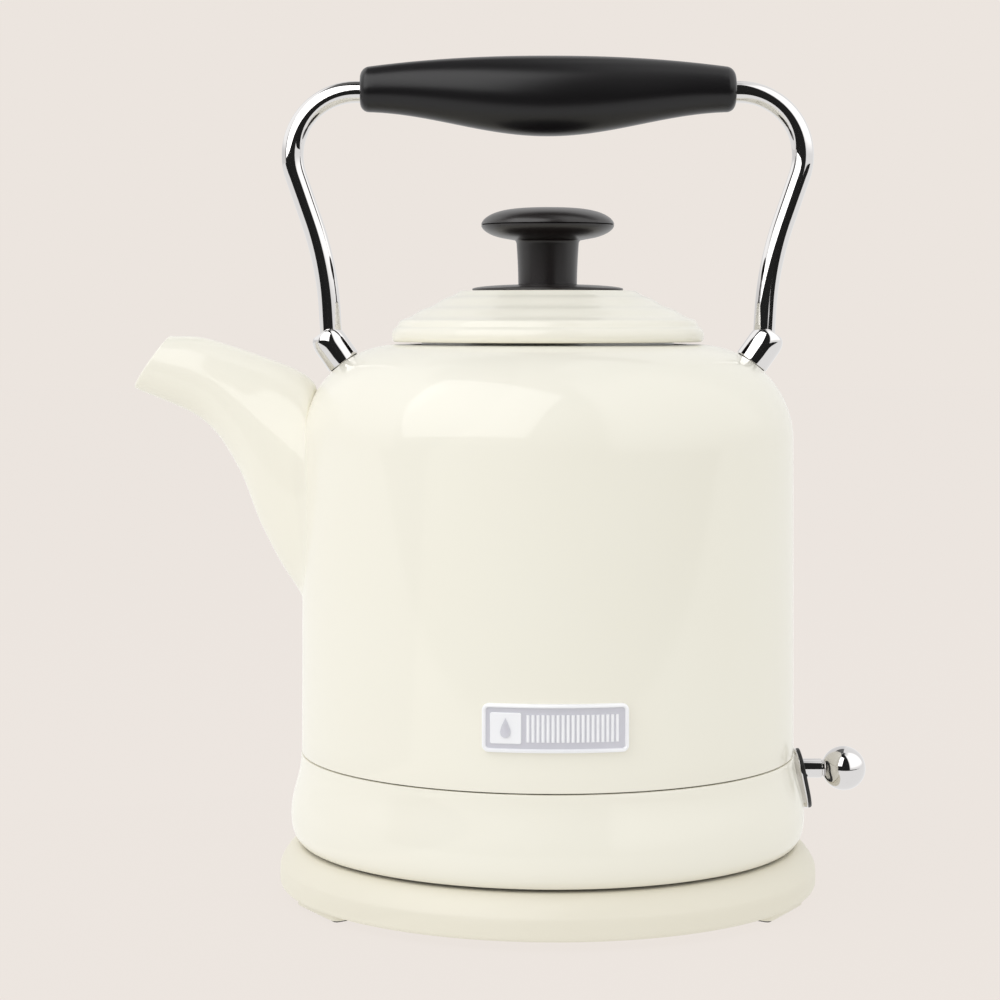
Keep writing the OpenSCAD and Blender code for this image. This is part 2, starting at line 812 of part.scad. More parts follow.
module filter_plate(r, t) {
    translate([filter_x, 0, pour_hole_z]) rotate([0, 90, 0]) cylinder(r = r, h = t);
}

module filter_frame() {
    color(BLACK) difference() {
        union() {
            filter_plate(filter_r, filter_t);
            translate([filter_x, -5, pour_hole_z + filter_r - 2]) cube([filter_t, 10, 5]);
        }
        translate([-slip, 0, 0]) filter_plate(pour_hole_r, filter_t + 2 * slip);
    }
}

module filter_mesh() {
    reach = floor(pour_hole_r / mesh_pitch) * mesh_pitch;
    color(STEEL) intersection() {
        translate([0.5, 0, 0]) filter_plate(pour_hole_r - gap, 0.8);
        union() {
            for (d = [-reach:mesh_pitch:reach]) {
                translate([filter_x, d - mesh_bar / 2, pour_hole_z - 15]) cube([3, mesh_bar, 30]);
                translate([filter_x, -15, pour_hole_z + d - mesh_bar / 2]) cube([3, 30, mesh_bar]);
            }
        }
    }
}

plate_cover();
plate_bottom();
rubber_feet();
base_screws();
connector_post();
contact_rings();
centre_pin();
terminal_block();
cord_gland();
control_socket();
body_shell();
spout();
base_band();
bottom_cover();
bottom_screws();
element_plate();
diffuser_plate();
heating_element();
control_unit();
bimetal_discs();
steam_tube();
lever_bracket();
lever_pin();
lever_bezel();
lever_slot_liner();
badge_frame();
badge_panel();
ferrule_left();
ferrule_right();
ferrule_gaskets();
handle_screws();
handle_rod();
grip();
lever_rocker();
lever_stem();
lever_ball();
lid_cover();
lid_liner();
lid_seal();
knob_flange();
knob_stem();
knob_cap();
knob_screw();
filter_frame();
filter_mesh();
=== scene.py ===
"""An enamelled electric kettle on its round power base, built up from the base to the lid."""
import math

import bmesh
import bpy
from mathutils import Matrix, Vector


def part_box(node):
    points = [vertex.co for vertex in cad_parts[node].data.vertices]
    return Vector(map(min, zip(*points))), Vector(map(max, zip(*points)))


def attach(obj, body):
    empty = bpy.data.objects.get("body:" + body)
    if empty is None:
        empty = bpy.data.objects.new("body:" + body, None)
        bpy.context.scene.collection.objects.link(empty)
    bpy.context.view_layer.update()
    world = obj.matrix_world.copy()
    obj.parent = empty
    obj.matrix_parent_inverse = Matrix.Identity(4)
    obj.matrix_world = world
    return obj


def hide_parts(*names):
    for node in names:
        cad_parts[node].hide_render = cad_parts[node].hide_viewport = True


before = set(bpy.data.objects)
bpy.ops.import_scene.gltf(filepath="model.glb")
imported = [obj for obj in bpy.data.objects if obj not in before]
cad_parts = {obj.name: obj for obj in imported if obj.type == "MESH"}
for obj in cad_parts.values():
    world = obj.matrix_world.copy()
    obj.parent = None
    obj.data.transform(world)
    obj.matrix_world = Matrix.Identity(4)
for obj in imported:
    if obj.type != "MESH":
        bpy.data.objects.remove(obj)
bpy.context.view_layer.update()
scene = bpy.context.scene
MM = 0.001


# ---- Power base ----------------------------------------------------------------------------------
# A low round dish injection-moulded in satin cream ABS, with a soft crease round its edge. A flat plate
# screws in from below and carries four rubber feet, and the black connector stands up through the middle.

def linear(hex_colour):
    """An sRGB hex colour as the linear RGBA that shaders take."""
    parts = [int(hex_colour[i:i + 2], 16) / 255 for i in (1, 3, 5)]
    return (*[c / 12.92 if c <= 0.04045 else ((c + 0.055) / 1.055) ** 2.4 for c in parts], 1.0)


def add(tree, kind, links=None, **settings):
    """Adds a node with its settings, and sets or links its inputs by name or number."""
    node = tree.nodes.new(kind)
    for key, value in settings.items():
        setattr(node, key, value)
    for key, value in (links or {}).items():
        if isinstance(value, bpy.types.NodeSocket):
            tree.links.new(value, node.inputs[key])
        else:
            node.inputs[key].default_value = value
    return node


def maths(tree, operation, *values):
    """A node that works on one to three numbers, each a value or a socket, and its result."""
    return add(tree, "ShaderNodeMath", dict(enumerate(values)), operation=operation).outputs[0]


def finish_of(name, colour, tint, patch_mm, grain_mm, grain_height_mm, stretch=(1, 1, 1), **shader):
    """A finish whose colour drifts to a tint in soft patches, over a fine relief with its real grain size."""
    material = bpy.data.materials.new(name)
    material.use_nodes = True
    tree = material.node_tree
    surface = tree.nodes["Principled BSDF"]
    for socket, value in shader.items():
        surface.inputs[socket.replace("_", " ")].default_value = value
    place = add(tree, "ShaderNodeTexCoord").outputs["Object"]
    patches = add(tree, "ShaderNodeTexNoise", {"Vector": place, "Scale": 1 / (patch_mm * MM), "Detail": 3.0})
    drift = add(tree, "ShaderNodeMix", {0: patches.outputs["Fac"], 6: linear(colour), 7: linear(tint)},
                data_type="RGBA")
    tree.links.new(drift.outputs[2], surface.inputs["Base Color"])
    spread = add(tree, "ShaderNodeMapping", {"Vector": place, "Scale": stretch})
    grain = add(tree, "ShaderNodeTexNoise",
                {"Vector": spread.outputs[0], "Scale": 1 / (grain_mm * MM), "Detail": 2.0})
    relief = add(tree, "ShaderNodeBump",
                 {"Height": grain.outputs["Fac"], "Distance": grain_height_mm * MM, "Strength": 1.0})
    tree.links.new(relief.outputs["Normal"], surface.inputs["Normal"])
    return material


# Moulded ABS from a spark-eroded tool: an even satin with a very fine grain that softens every highlight.
satin_abs = finish_of("satin_cream_abs", "#E6E1D0", "#E3DDCA", 30, 0.5, 0.012, Roughness=0.5, IOR=1.52)
# Black ABS of the connector and covers: near-black with a soft sheen.
black_abs = finish_of("black_abs", "#151414", "#1A1918", 14, 0.45, 0.012, Roughness=0.42, IOR=1.5)
# Cured rubber: matt, with a faint bloom.
rubber = finish_of("cured_rubber", "#1B1A1A", "#262524", 5, 0.7, 0.03, Roughness=0.75, IOR=1.5)
# Machined brass of the contacts: bright, with turning marks round it.
brass = finish_of("turned_brass", "#D9B46A", "#C9A255", 4, 0.3, 0.004, Metallic=1.0, Roughness=0.22)
# Zinc-plated steel of the screws: pale grey and slightly dull.
zinc = finish_of("zinc_plated_steel", "#B9BBBC", "#A9ABAD", 3, 0.3, 0.006, Metallic=1.0, Roughness=0.32)
# White nylon of the inner parts: translucent-looking and waxy.
nylon = finish_of("white_nylon", "#E7E6E1", "#DEDDD6", 9, 0.6, 0.015, Roughness=0.55, IOR=1.53)


def arc(x, z, r, start, end, steps):
    """Points of an arc, its angles in degrees from +X towards +Z."""
    turns = [math.radians(start + (end - start) * i / steps) for i in range(steps + 1)]
    return [(x + r * math.cos(a), z + r * math.sin(a)) for a in turns]


def bent(a, b, c, d, steps, first=0):
    """Points along a cubic curve from a to d, drawn towards b and c on the way."""
    path = []
    for i in range(first, steps + 1):
        t = i / steps
        w = ((1 - t) ** 3, 3 * t * (1 - t) ** 2, 3 * t * t * (1 - t), t ** 3)
        path.append(tuple(sum(k * p[n] for k, p in zip(w, (a, b, c, d))) for n in (0, 1)))
    return path


def eased(corners, steps=4):
    """An outline whose corners (x, z, radius) are rounded off, each by a short curve."""
    path = []
    for i, (x, z, *ease) in enumerate(corners):
        here = Vector((x, z))
        if not ease:
            path.append((x, z))
            continue
        before = Vector(corners[i - 1][:2]) - here
        after = Vector(corners[(i + 1) % len(corners)][:2]) - here
        a = here + before.normalized() * min(ease[0], before.length / 2)
        b = here + after.normalized() * min(ease[0], after.length / 2)
        for k in range(steps + 1):
            t = k / steps
            path.append(tuple(a * (1 - t) ** 2 + here * 2 * t * (1 - t) + b * t * t))
    return path


def shown(name, mesh, finish, sharp=35):
    """Makes an object of a mesh: its faces outwards, smooth but for edges sharper than an angle."""
    tidy = bmesh.new()
    tidy.from_mesh(mesh)
    bmesh.ops.remove_doubles(tidy, verts=tidy.verts, dist=1e-6)
    bmesh.ops.recalc_face_normals(tidy, faces=tidy.faces)
    tidy.to_mesh(mesh)
    tidy.free()
    mesh.shade_smooth()
    mesh.set_sharp_from_angle(angle=math.radians(sharp))
    mesh.materials.clear()
    mesh.materials.append(finish)
    piece = bpy.data.objects.new(name, mesh)
    scene.collection.objects.link(piece)
    return piece


def turned(name, outline, finish, steps=144, frame_at=None, sharp=35):
    """Spins an outline of (radius, height) in mm about an axis, the kettle's own if no other is given."""
    at = frame_at or Matrix.Identity(4)
    points, rings, faces = [], [], []
    for r, z in outline:
        count = steps if r > 1e-4 else 1
        rings.append([len(points) + i for i in range(count)])
        for i in range(count):
            a = 2 * math.pi * i / steps
            points.append(at @ Vector((r * math.cos(a), r * math.sin(a), z)) * MM)
    following = rings[1:] + ([rings[0]] if outline[0][0] > 1e-4 else [])
    for lower, upper in zip(rings, following):
        for i in range(steps):
            j = (i + 1) % steps
            loop = [lower[i % len(lower)], lower[j % len(lower)],
                    upper[j % len(upper)], upper[i % len(upper)]]
            loop = list(dict.fromkeys(loop))
            if len(loop) > 2:
                faces.append(loop)
    mesh = bpy.data.meshes.new(name)
    mesh.from_pydata(points, [], faces)
    return shown(name, mesh, finish, sharp)


def fixed(piece, body, slot, *nodes):
    """Lets a piece ride on its body, in place of the plain solids that it stands for."""
    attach(piece, body)
    if nodes:
        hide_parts(*nodes)
    return piece


plate_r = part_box("plate_cover")[1].x / MM
plate_z = 17.0
post_hole_r = 24.1
plate_outline = (
    [(plate_r - 3.5, 3.2), (plate_r - 1.3, 3.1)]
    + bent((plate_r - 0.6, 3.1), (plate_r - 0.15, 3.5), (plate_r, 4.1), (plate_r, 5.2), 5)
    + bent((plate_r, 6), (plate_r, 8), (plate_r - 0.05, 9.2), (plate_r - 0.35, 10.1), 6)
    + bent((plate_r - 0.62, 10.65), (plate_r - 1.9, 13.2), (plate_r - 4, 16), (plate_r - 6.6, plate_z), 14)
    + eased([(70.5, plate_z), (69.2, plate_z, 0.3), (69.0, plate_z + 0.8, 0.4), (66.0, plate_z + 0.8, 0.4),
             (65.8, plate_z, 0.3), (64, plate_z)])
    + eased([(post_hole_r, plate_z, 0.5), (post_hole_r, 14.8)])
    + [(plate_r - 8, 14.8)]
    + bent((plate_r - 7, 14.7), (plate_r - 5.2, 13.6), (plate_r - 3.6, 11), (plate_r - 2.4, 8), 6)
)
plate_cover = turned("plate_cover_shell", plate_outline, satin_abs, 192)
fixed(plate_cover, "power_base", "cream_plastic", "plate_cover")

bottom_outline = eased([(0, 3.05), (50, 3.05, 0.1), (51, 3.5, 0.2), (54, 3.5, 0.2), (55, 3.05, 0.1),
                        (88.6, 3.05, 0.4), (88.6, 5), (0, 5)])
plate_bottom = turned("plate_bottom_disc", bottom_outline, satin_abs, 128)
fixed(plate_bottom, "power_base", "cream_plastic", "plate_bottom")


def tree_for(name, sizes):
    """A new geometry tree with named inputs of given kinds, its inputs, and the socket that it ends in."""
    tree = bpy.data.node_groups.new(name, "GeometryNodeTree")
    tree.interface.new_socket("Geometry", in_out="OUTPUT", socket_type="NodeSocketGeometry")
    tree.interface.new_socket("Geometry", in_out="INPUT", socket_type="NodeSocketGeometry")
    for label, kind in sizes.items():
        tree.interface.new_socket(label, in_out="INPUT", socket_type="NodeSocket" + kind)
    return tree, add(tree, "NodeGroupInput").outputs, add(tree, "NodeGroupOutput").inputs["Geometry"]


def coated(tree, geometry, finish, result):
    """Ends a geometry tree: what it made takes a finish."""
    painted = add(tree, "GeometryNodeSetMaterial", {"Geometry": geometry, "Material": finish}).outputs[0]
    tree.links.new(painted, result)


def grown(name, tree, start, sizes, finish, sharp=35):
    """Runs a geometry tree on a starting mesh and keeps the plain mesh that comes out of it."""
    seed = bpy.data.objects.new(name + "_seed", start)
    scene.collection.objects.link(seed)
    modifier = seed.modifiers.new("build", "NODES")
    modifier.node_group = tree
    for item in tree.interface.items_tree:
        if item.in_out == "INPUT" and item.name in sizes:
            modifier[item.identifier] = sizes[item.name]
    graph = bpy.context.evaluated_depsgraph_get()
    mesh = bpy.data.meshes.new_from_object(seed.evaluated_get(graph), depsgraph=graph)
    bpy.data.objects.remove(seed)
    return shown(name, mesh, finish, sharp)


# One part is set at each of a few points, turned to face away from the middle.
set_out, given, result = tree_for("parts_set_out", {"Part": "Object", "Finish": "Material"})
part = add(set_out, "GeometryNodeObjectInfo", {"Object": given["Part"]}).outputs["Geometry"]
spot = add(set_out, "GeometryNodeInputPosition").outputs[0]
facing = add(set_out, "FunctionNodeAlignRotationToVector", {"Vector": spot},
             axis="X", pivot_axis="Z").outputs[0]
placed = add(set_out, "GeometryNodeInstanceOnPoints",
             {"Points": given["Geometry"], "Instance": part, "Rotation": facing}).outputs[0]
joined = add(set_out, "GeometryNodeRealizeInstances", {"Geometry": placed}).outputs[0]
coated(set_out, joined, given["Finish"], result)


def ring_of(name, outline, finish, angles, radius, height=0.0, steps=32):
    """Turned parts of one outline, set out on a circle at the angles given."""
    part = turned(name + "_part", outline, finish, steps)
    spots = bpy.data.meshes.new(name)
    turns = [math.radians(a) for a in angles]
    places = [(radius * MM * math.cos(a), radius * MM * math.sin(a), height * MM) for a in turns]
    spots.from_pydata(places, [], [])
    piece = grown(name, set_out, spots, {"Part": part, "Finish": finish}, finish)
    bpy.data.objects.remove(part)
    return piece


def lofted(name, rings, finish, closed=False, sharp=35):
    """Skins rings of points in mm, each with the next. It joins the last to the first, or caps both ends."""
    points = [Vector(p) * MM for ring in rings for p in ring]
    count, sides = len(rings), len(rings[0])
    faces = []
    for k in range(count if closed else count - 1):
        here, after = k * sides, (k + 1) % count * sides
        for j in range(sides):
            i = (j + 1) % sides
            faces.append((here + j, here + i, after + i, after + j))
    if not closed:
        faces += [list(range(sides)), [(count - 1) * sides + j for j in range(sides)]]
    mesh = bpy.data.meshes.new(name)
    mesh.from_pydata(points, [], faces)
    return shown(name, mesh, finish, sharp)


# The corners of a rectangle: which way each one lies, and the angle where the arc round it starts.
quarters = ((1, 1, 0), (-1, 1, 90), (-1, -1, 180), (1, -1, 270))
foot_mid_r, foot_half_w, foot_half_turn, foot_corner_r = 84.1, 6.1, 9.5, 2.5


def foot_ring(middle, inset, z):
    """A ring of points round one foot, a flat sector with round corners along the edge of the base."""
    reach = math.radians(foot_half_turn) * foot_mid_r - inset
    half_w = foot_half_w - inset
    corner = max(foot_corner_r - inset, 0.4)
    ring = []
    for cx, cy, start in quarters:
        for x, y in arc(cx * (half_w - corner), cy * (reach - corner), corner, start, start + 90, 5):
            a = math.radians(middle) + y / foot_mid_r
            ring.append(((foot_mid_r + x) * math.cos(a), (foot_mid_r + x) * math.sin(a), z))
    return ring


# Each foot is a low moulded step in the bottom plate with a rubber pad pressed into it.
step_section = [(0, 3.0), (0, 1.1), (0.15, 0.8), (0.4, 0.7), (1.1, 0.7), (1.2, 0.8), (1.2, 1.6), (1.2, 3.0)]
pad_section = [(1.25, 1.65), (1.25, 0.35), (1.4, 0.1), (1.75, 0)]
for number, middle in enumerate((29, 151, 209, 331)):
    step_rings = [foot_ring(middle, inset, z) for inset, z in step_section]
    pad_rings = [foot_ring(middle, inset, z) for inset, z in pad_section]
    fixed(lofted(f"foot_step_{number + 1}", step_rings, satin_abs, True), "power_base", "cream_plastic")
    replaced = ["rubber_feet"] if number == 0 else []
    fixed(lofted(f"foot_pad_{number + 1}", pad_rings, rubber), "power_base", "black_rubber", *replaced)
screw_head = eased([(0, 2.9), (0.9, 2.9), (0.9, 2.4), (2.9, 2.4, 0.5), (2.9, 3.9), (1.5, 3.9), (1.5, 12),
                    (0, 12)])
screws = ring_of("base_screw_set", screw_head, zinc, (45, 165, 285), 60)
fixed(screws, "power_base", "stainless_steel", "base_screws")

post_top_z = 33.0
ring_z = (21.0, 26.0)
post_outline = [(0, 13.8), (24, 13.8)] + eased([(24, 17, 0.4), (12.6, 17, 0.5), (11, 18.6, 0.5)])
for z in ring_z:
    post_outline += [(11, z), (10, z), (10, z + 3), (11, z + 3)]
post_outline += eased([(11, post_top_z, 1.2), (4, post_top_z, 0.4), (4, post_top_z - 1.5, 0.3),
                       (2.05, post_top_z - 1.5)]) + [(2.05, 20), (0, 20)]
post_body = turned("connector_post_body", post_outline, black_abs, 96)
fixed(post_body, "power_base", "black_plastic", "connector_post")
for number, z in enumerate(ring_z):
    ring_outline = eased([(10.05, z + 0.05), (11.4, z + 0.05, 0.25), (11.4, z + 2.95, 0.25),
                          (10.05, z + 2.95)])
    contact_ring = turned(f"contact_ring_{number + 1}", ring_outline, brass, 96)
    replaced = ["contact_rings"] if number == 0 else []
    fixed(contact_ring, "power_base", "brass_contacts", *replaced)
pin_outline = eased([(0, 14), (2, 14), (2, 36.6, 0.6), (1.0, 38.2, 0.6), (0, 38.2)])
fixed(turned("centre_pin_body", pin_outline, brass, 32), "power_base", "brass_contacts", "centre_pin")
lead_z = 9.5
gland_frame = Matrix.Translation((0, 0, lead_z)) @ Matrix.Rotation(-math.pi / 2, 4, "X")
gland_y = plate_r + 1.2
gland_outline = eased([(0, gland_y - 11.2), (5.0, gland_y - 11.2, 0.3), (5.0, gland_y - 8.2, 0.3),
                       (4.5, gland_y - 8.2), (4.5, gland_y, 0.6), (3.2, gland_y, 0.4), (3.2, gland_y - 0.9),
                       (0, gland_y - 0.9)])
gland = turned("cord_gland_bush", gland_outline, rubber, 48, gland_frame)
fixed(gland, "power_base", "black_plastic", "cord_gland")


# ---- Inner parts that stay as they were drawn ----------------------------------------------------
# The terminal block, thermostat, lever bracket and steam tube sit inside, and are plain mouldings and
# pressings. Each keeps its solid. Its seams are welded, its shading is softened and it takes a finish.

soften, given, result = tree_for("softened_shading", {"Edge angle": "Float"})
welded = add(soften, "GeometryNodeMergeByDistance",
             {"Geometry": given["Geometry"], "Distance": 1e-6}).outputs[0]
angle = add(soften, "GeometryNodeInputMeshEdgeAngle").outputs["Unsigned Angle"]
flat_enough = add(soften, "FunctionNodeCompare", {0: angle, 1: given["Edge angle"]},
                  operation="LESS_THAN").outputs[0]
round_edges = add(soften, "GeometryNodeSetShadeSmooth", {"Geometry": welded, "Shade Smooth": flat_enough},
                  domain="EDGE").outputs[0]
soften.links.new(add(soften, "GeometryNodeSetShadeSmooth", {"Geometry": round_edges, "Shade Smooth": True},
                     domain="FACE").outputs[0], result)


def kept(node, finish):
    """Gives a solid that stays its finish and soft shading."""
    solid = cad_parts[node]
    solid.data.materials.clear()
    solid.data.materials.append(finish)
    modifier = solid.modifiers.new("shading", "NODES")
    modifier.node_group = soften
    sizes = [i for i in soften.interface.items_tree if i.name == "Edge angle"]
    modifier[sizes[0].identifier] = math.radians(35)


# Brushed stainless steel: long fine scratches one way.
stainless = finish_of("brushed_stainless", "#C4C4C2", "#B6B6B5", 20, 0.25, 0.006, stretch=(1, 0.05, 1),
                      Metallic=1.0, Roughness=0.28)
# Rolled aluminium: pale, soft and slightly cloudy.
aluminium = finish_of("rolled_aluminium", "#CACBCC", "#BFC0C2", 12, 0.4, 0.006, Metallic=1.0, Roughness=0.38)
for node in ("terminal_block", "control_unit", "steam_tube", "lever_rocker"):
    kept(node, nylon)
for node in ("element_plate", "heating_element", "lever_bracket", "lever_pin"):
    kept(node, stainless)
for node in ("bottom_screws", "handle_screws", "knob_screw"):
    kept(node, zinc)
kept("diffuser_plate", aluminium)
kept("bimetal_discs", brass)


# ---- Underside of the kettle ---------------------------------------------------------------------
# A round black socket drops over the post, in the middle of a moulded black cover that closes the kettle.

socket_outline = eased([(11.7, 21), (14.4, 18.4, 0.5), (24, 18.4, 0.6), (24, 21, 0.4), (20, 23, 0.6),
                        (18, 37.5, 0.5), (11.7, 37.5, 0.5)])
control_socket = turned("control_socket_ring", socket_outline, black_abs, 96)
fixed(control_socket, "socket", "black_plastic", "control_socket")
band_z = 18.2
cover_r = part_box("bottom_cover")[1].x / MM
cover_outline = eased([(24.3, band_z + 2), (24.3, band_z, 0.4), (34, band_z, 0.2), (35, band_z + 0.7, 0.2),
                       (37, band_z + 0.7, 0.2), (38, band_z, 0.2), (cover_r, band_z, 0.4),
                       (cover_r, band_z + 2)])
bottom_cover = turned("bottom_cover_disc", cover_outline, black_abs, 128)
fixed(bottom_cover, "kettle", "black_plastic", "bottom_cover")


# ---- Body ----------------------------------------------------------------------------------------
# A drawn steel shell with one broad rounded shoulder, coated in glossy cream enamel inside a stoving oven.
# A rolled collar stiffens its mouth, and a round hole at the spout lets the water out.

# Stoved enamel: a hard glassy coat over cream, with the faintest orange peel in its reflections.
enamel = finish_of("stoved_cream_enamel", "#EFECDE", "#EEEADB", 45, 2.2, 0.0022, Roughness=0.5, IOR=1.3,
                   Coat_Weight=0.5, Coat_Roughness=0.05, Coat_IOR=1.52)
seam_z = 47.8
body_r, body_top_r, wall = 84.8, 84.3, 1.2
shoulder_z, shoulder_r = 155.0, 33.0
dome_x = body_top_r - shoulder_r
mouth_r, mouth_z = 47.0, shoulder_z + shoulder_r
pour_hole_r, pour_hole_z = 13.0, 140.0
rows = 14
side = [(body_r + (body_top_r - body_r) * i / rows, seam_z + 0.75 + (shoulder_z - seam_z - 0.75) * i / rows)
        for i in range(rows + 1)]
shell_outline = (
    [(body_r - wall, seam_z + 0.3), (body_r - 0.45, seam_z + 0.3), (body_r - 0.1, seam_z + 0.4)]
    + side
    + arc(dome_x, shoulder_z, shoulder_r, 2.5, 90, 34)
    + eased([(mouth_r + 2, mouth_z), (mouth_r, mouth_z, 1.4), (mouth_r, mouth_z - 8, 0.3),
             (mouth_r + wall, mouth_z - 8, 0.3), (mouth_r + wall, mouth_z - wall, 0.6),
             (dome_x, mouth_z - wall)], 6)
    + arc(dome_x, shoulder_z, shoulder_r - wall, 86, 0, 22)
    + [(r - wall, z) for r, z in reversed(side)]
)
body_shell = turned("body_shell_enamelled", shell_outline, enamel, 192)
drill_outline = [(0, -70), (pour_hole_r, -70), (pour_hole_r, -100), (0, -100)]
drill = turned("pour_hole_drill", drill_outline, enamel, 48,
               Matrix.Translation((0, 0, pour_hole_z)) @ Matrix.Rotation(math.pi / 2, 4, "Y"))
cut = body_shell.modifiers.new("pour_hole", "BOOLEAN")
cut.object, cut.operation, cut.solver = drill, "DIFFERENCE", "EXACT"
graph = bpy.context.evaluated_depsgraph_get()
drilled = bpy.data.meshes.new_from_object(body_shell.evaluated_get(graph), depsgraph=graph)
bpy.data.objects.remove(body_shell)
bpy.data.objects.remove(drill)
fixed(shown("body_shell_enamel", drilled, enamel), "kettle", "cream_enamel", "body_shell")


# ---- Spout ---------------------------------------------------------------------------------------
# A gooseneck pressed from steel in the body's enamel: broad and upright where it is welded to the body,
# narrow and level at the mouth, whose rim is rolled and slanted so that the pour cuts off cleanly.

def through(points, share):
    """The point at a share of the way along a smooth curve through all the points."""
    last = len(points) - 1
    s = min(int(share * last), last - 1)
    t = share * last - s
    b, c = Vector(points[s]), Vector(points[s + 1])
    a = 2 * b - c if s == 0 else Vector(points[s - 1])
    d = 2 * c - b if s == last - 1 else Vector(points[s + 2])
    return (2 * b + (c - a) * t + (2 * a - 5 * b + 4 * c - d) * t * t + (3 * b - a - 3 * c + d) * t ** 3) / 2


spout_lower = [(-84.6, 98.2), (-95.5, 109), (-102.3, 125), (-108.2, 145.5), (-119.3, 162.1), (-142.7, 173.1)]
spout_upper = [(-84.2, 171.6), (-92, 177.4), (-102, 182.9), (-111.3, 187.4), (-119.8, 190.4), (-130.4, 190.9)]
root_half, lip_half, spout_wall, spout_sides = 21.0, 10.5, 1.6, 96


def skin_r(z):
    """How far the body's skin is from the axis at a height."""
    if z < shoulder_z:
        return body_r + (body_top_r - body_r) * (z - seam_z) / (shoulder_z - seam_z)
    return dome_x + math.sqrt(shoulder_r ** 2 - (z - shoulder_z) ** 2)


def spout_ring(share, inward):
    """One ring of the spout, the first of which lies on the body's side."""
    low, high = through(spout_lower, share), through(spout_upper, share)
    middle, arm = (low + high) / 2, (high - low) / 2
    arm = arm * (1 - inward / arm.length)
    half = root_half + (lip_half - root_half) * (1 - (1 - share) ** 2.2) - inward
    ring = []
    for j in range(spout_sides):
        a = 2 * math.pi * j / spout_sides
        y = half * math.cos(a)
        p = middle + arm * math.sin(a)
        root = -math.sqrt((skin_r(min(p[1], 180)) - 0.15) ** 2 - y * y)
        ring.append((p[0] + (root - p[0]) * (1 - share) ** 3, y, p[1]))
    return ring


stations = [i / 64 for i in range(64)] + [0.993]
rim_turn = [math.radians(a) for a in range(0, 181, 20)]
spout_rings = [spout_ring(s, 0) for s in stations]
spout_rings += [spout_ring(0.993 + 0.007 * math.sin(a), spout_wall / 2 * (1 - math.cos(a))) for a in rim_turn]
spout_rings += [spout_ring(s, spout_wall) for s in reversed(stations)]
fixed(lofted("spout_enamel", spout_rings, enamel, True), "kettle", "cream_enamel", "spout")


# ---- Lower band ----------------------------------------------------------------------------------
# A separate enamelled skirt that swells to its widest just above its lower edge and draws in to the seam.

band_r = 88.7
band_outline = (
    [(band_r - 4.6, band_z + 0.3), (band_r - 3.8, band_z)]
    + bent((band_r - 3.1, band_z), (band_r - 0.6, band_z + 2), (band_r + 0.25, band_z + 6.5),
           (band_r - 0.4, band_z + 12), 20)
    + bent((band_r - 0.4, band_z + 12), (band_r - 1.2, band_z + 18), (body_r + 0.2, band_z + 22.5),
           (body_r + 0.2, seam_z - 0.5), 20, 1)
    + [(body_r + 0.05, seam_z - 0.15), (body_r - 0.3, seam_z - 0.05), (body_r - 1.4, seam_z - 0.05)]
    + bent((body_r - 1.4, seam_z - 1), (body_r - 1.4, band_z + 22.5), (band_r - 2.8, band_z + 18),
           (band_r - 2.0, band_z + 12), 12)
    + bent((band_r - 2.0, band_z + 12), (band_r - 1.35, band_z + 6.5), (band_r - 2.2, band_z + 2.6),
           (band_r - 4.6, band_z + 1.6), 12, 1)
)
fixed(turned("base_band_enamel", band_outline, enamel, 192), "kettle", "cream_enamel", "base_band")


# ---- Switch lever --------------------------------------------------------------------------------
# A chromed ball on a short rod works the switch through an upright slot in the band. A chromed pill-shaped
# bezel frames the slot, and a black moulded liner faces the bezel and lines the slot round the rod.

# Chrome plate: a mirror a little darker than silver, very slightly warm, with a trace of polishing haze.
chrome = finish_of("chrome_plate", "#DEDCDB", "#D8D6D5", 25, 1.5, 0.0006, Metallic=1.0, Roughness=0.035)
slot_frame = Matrix.Translation((86.8, 0, 37.2)) @ Matrix.Rotation(math.radians(90 - 11.7), 4, "Y")
bezel_h, bezel_w = 21.1, 15.4


def pill(inset, height):
    """A ring of points round the bezel's pill shape, inset and raised by mm."""
    r = bezel_w / 2 - inset
    reach = (bezel_h - bezel_w) / 2
    ring = []
    for i in range(64):
        a = 2 * math.pi * i / 64
        along = reach if math.cos(a) >= 0 else -reach
        ring.append(slot_frame @ Vector((along + r * math.cos(a), r * math.sin(a), height)))
    return ring


bezel_steps = [(0.6, -0.8), (0.5, 0.0), (0.15, 0.9), (0.0, 1.25), (0.05, 1.5), (0.3, 1.6), (2.0, 1.6),
               (2.0, -0.8)]
bezel = lofted("lever_bezel_chrome", [pill(*step) for step in bezel_steps], chrome, True)
fixed(bezel, "kettle", "chrome_plate", "lever_bezel")
liner_steps = [(2.1, -2.5), (2.1, 1.65), (0.3, 1.65), (0.12, 1.8), (0.1, 2.2), (0.15, 2.55), (0.4, 2.77),
               (0.8, 2.8), (2.0, 2.8), (2.2, 2.7), (2.25, 2.1), (2.6, 1.95), (2.6, -2.5)]
slot_liner = lofted("slot_liner_black", [pill(*step) for step in liner_steps], black_abs, True)
fixed(slot_liner, "kettle", "black_plastic", "lever_slot_liner")
lever_z = 41.0
lever_frame = Matrix.Translation((0, 0, lever_z)) @ Matrix.Rotation(math.pi / 2, 4, "Y")
ball_x, ball_r, stem_r = 102.8, 7.6, 3.3
joint_x = ball_x - math.sqrt(ball_r ** 2 - stem_r ** 2)
lever_outline = (
    eased([(0, 68.1), (stem_r, 68.1, 0.3), (stem_r, joint_x - 0.9, 0.1)])
    + [(stem_r - 0.35, joint_x - 0.7), (stem_r - 0.35, joint_x - 0.2), (stem_r, joint_x + 0.1),
       (0, joint_x + 0.1)]
)
lever_stem = turned("lever_stem_chrome", lever_outline, chrome, 48, lever_frame)
fixed(lever_stem, "switch_lever", "chrome_plate", "lever_stem")
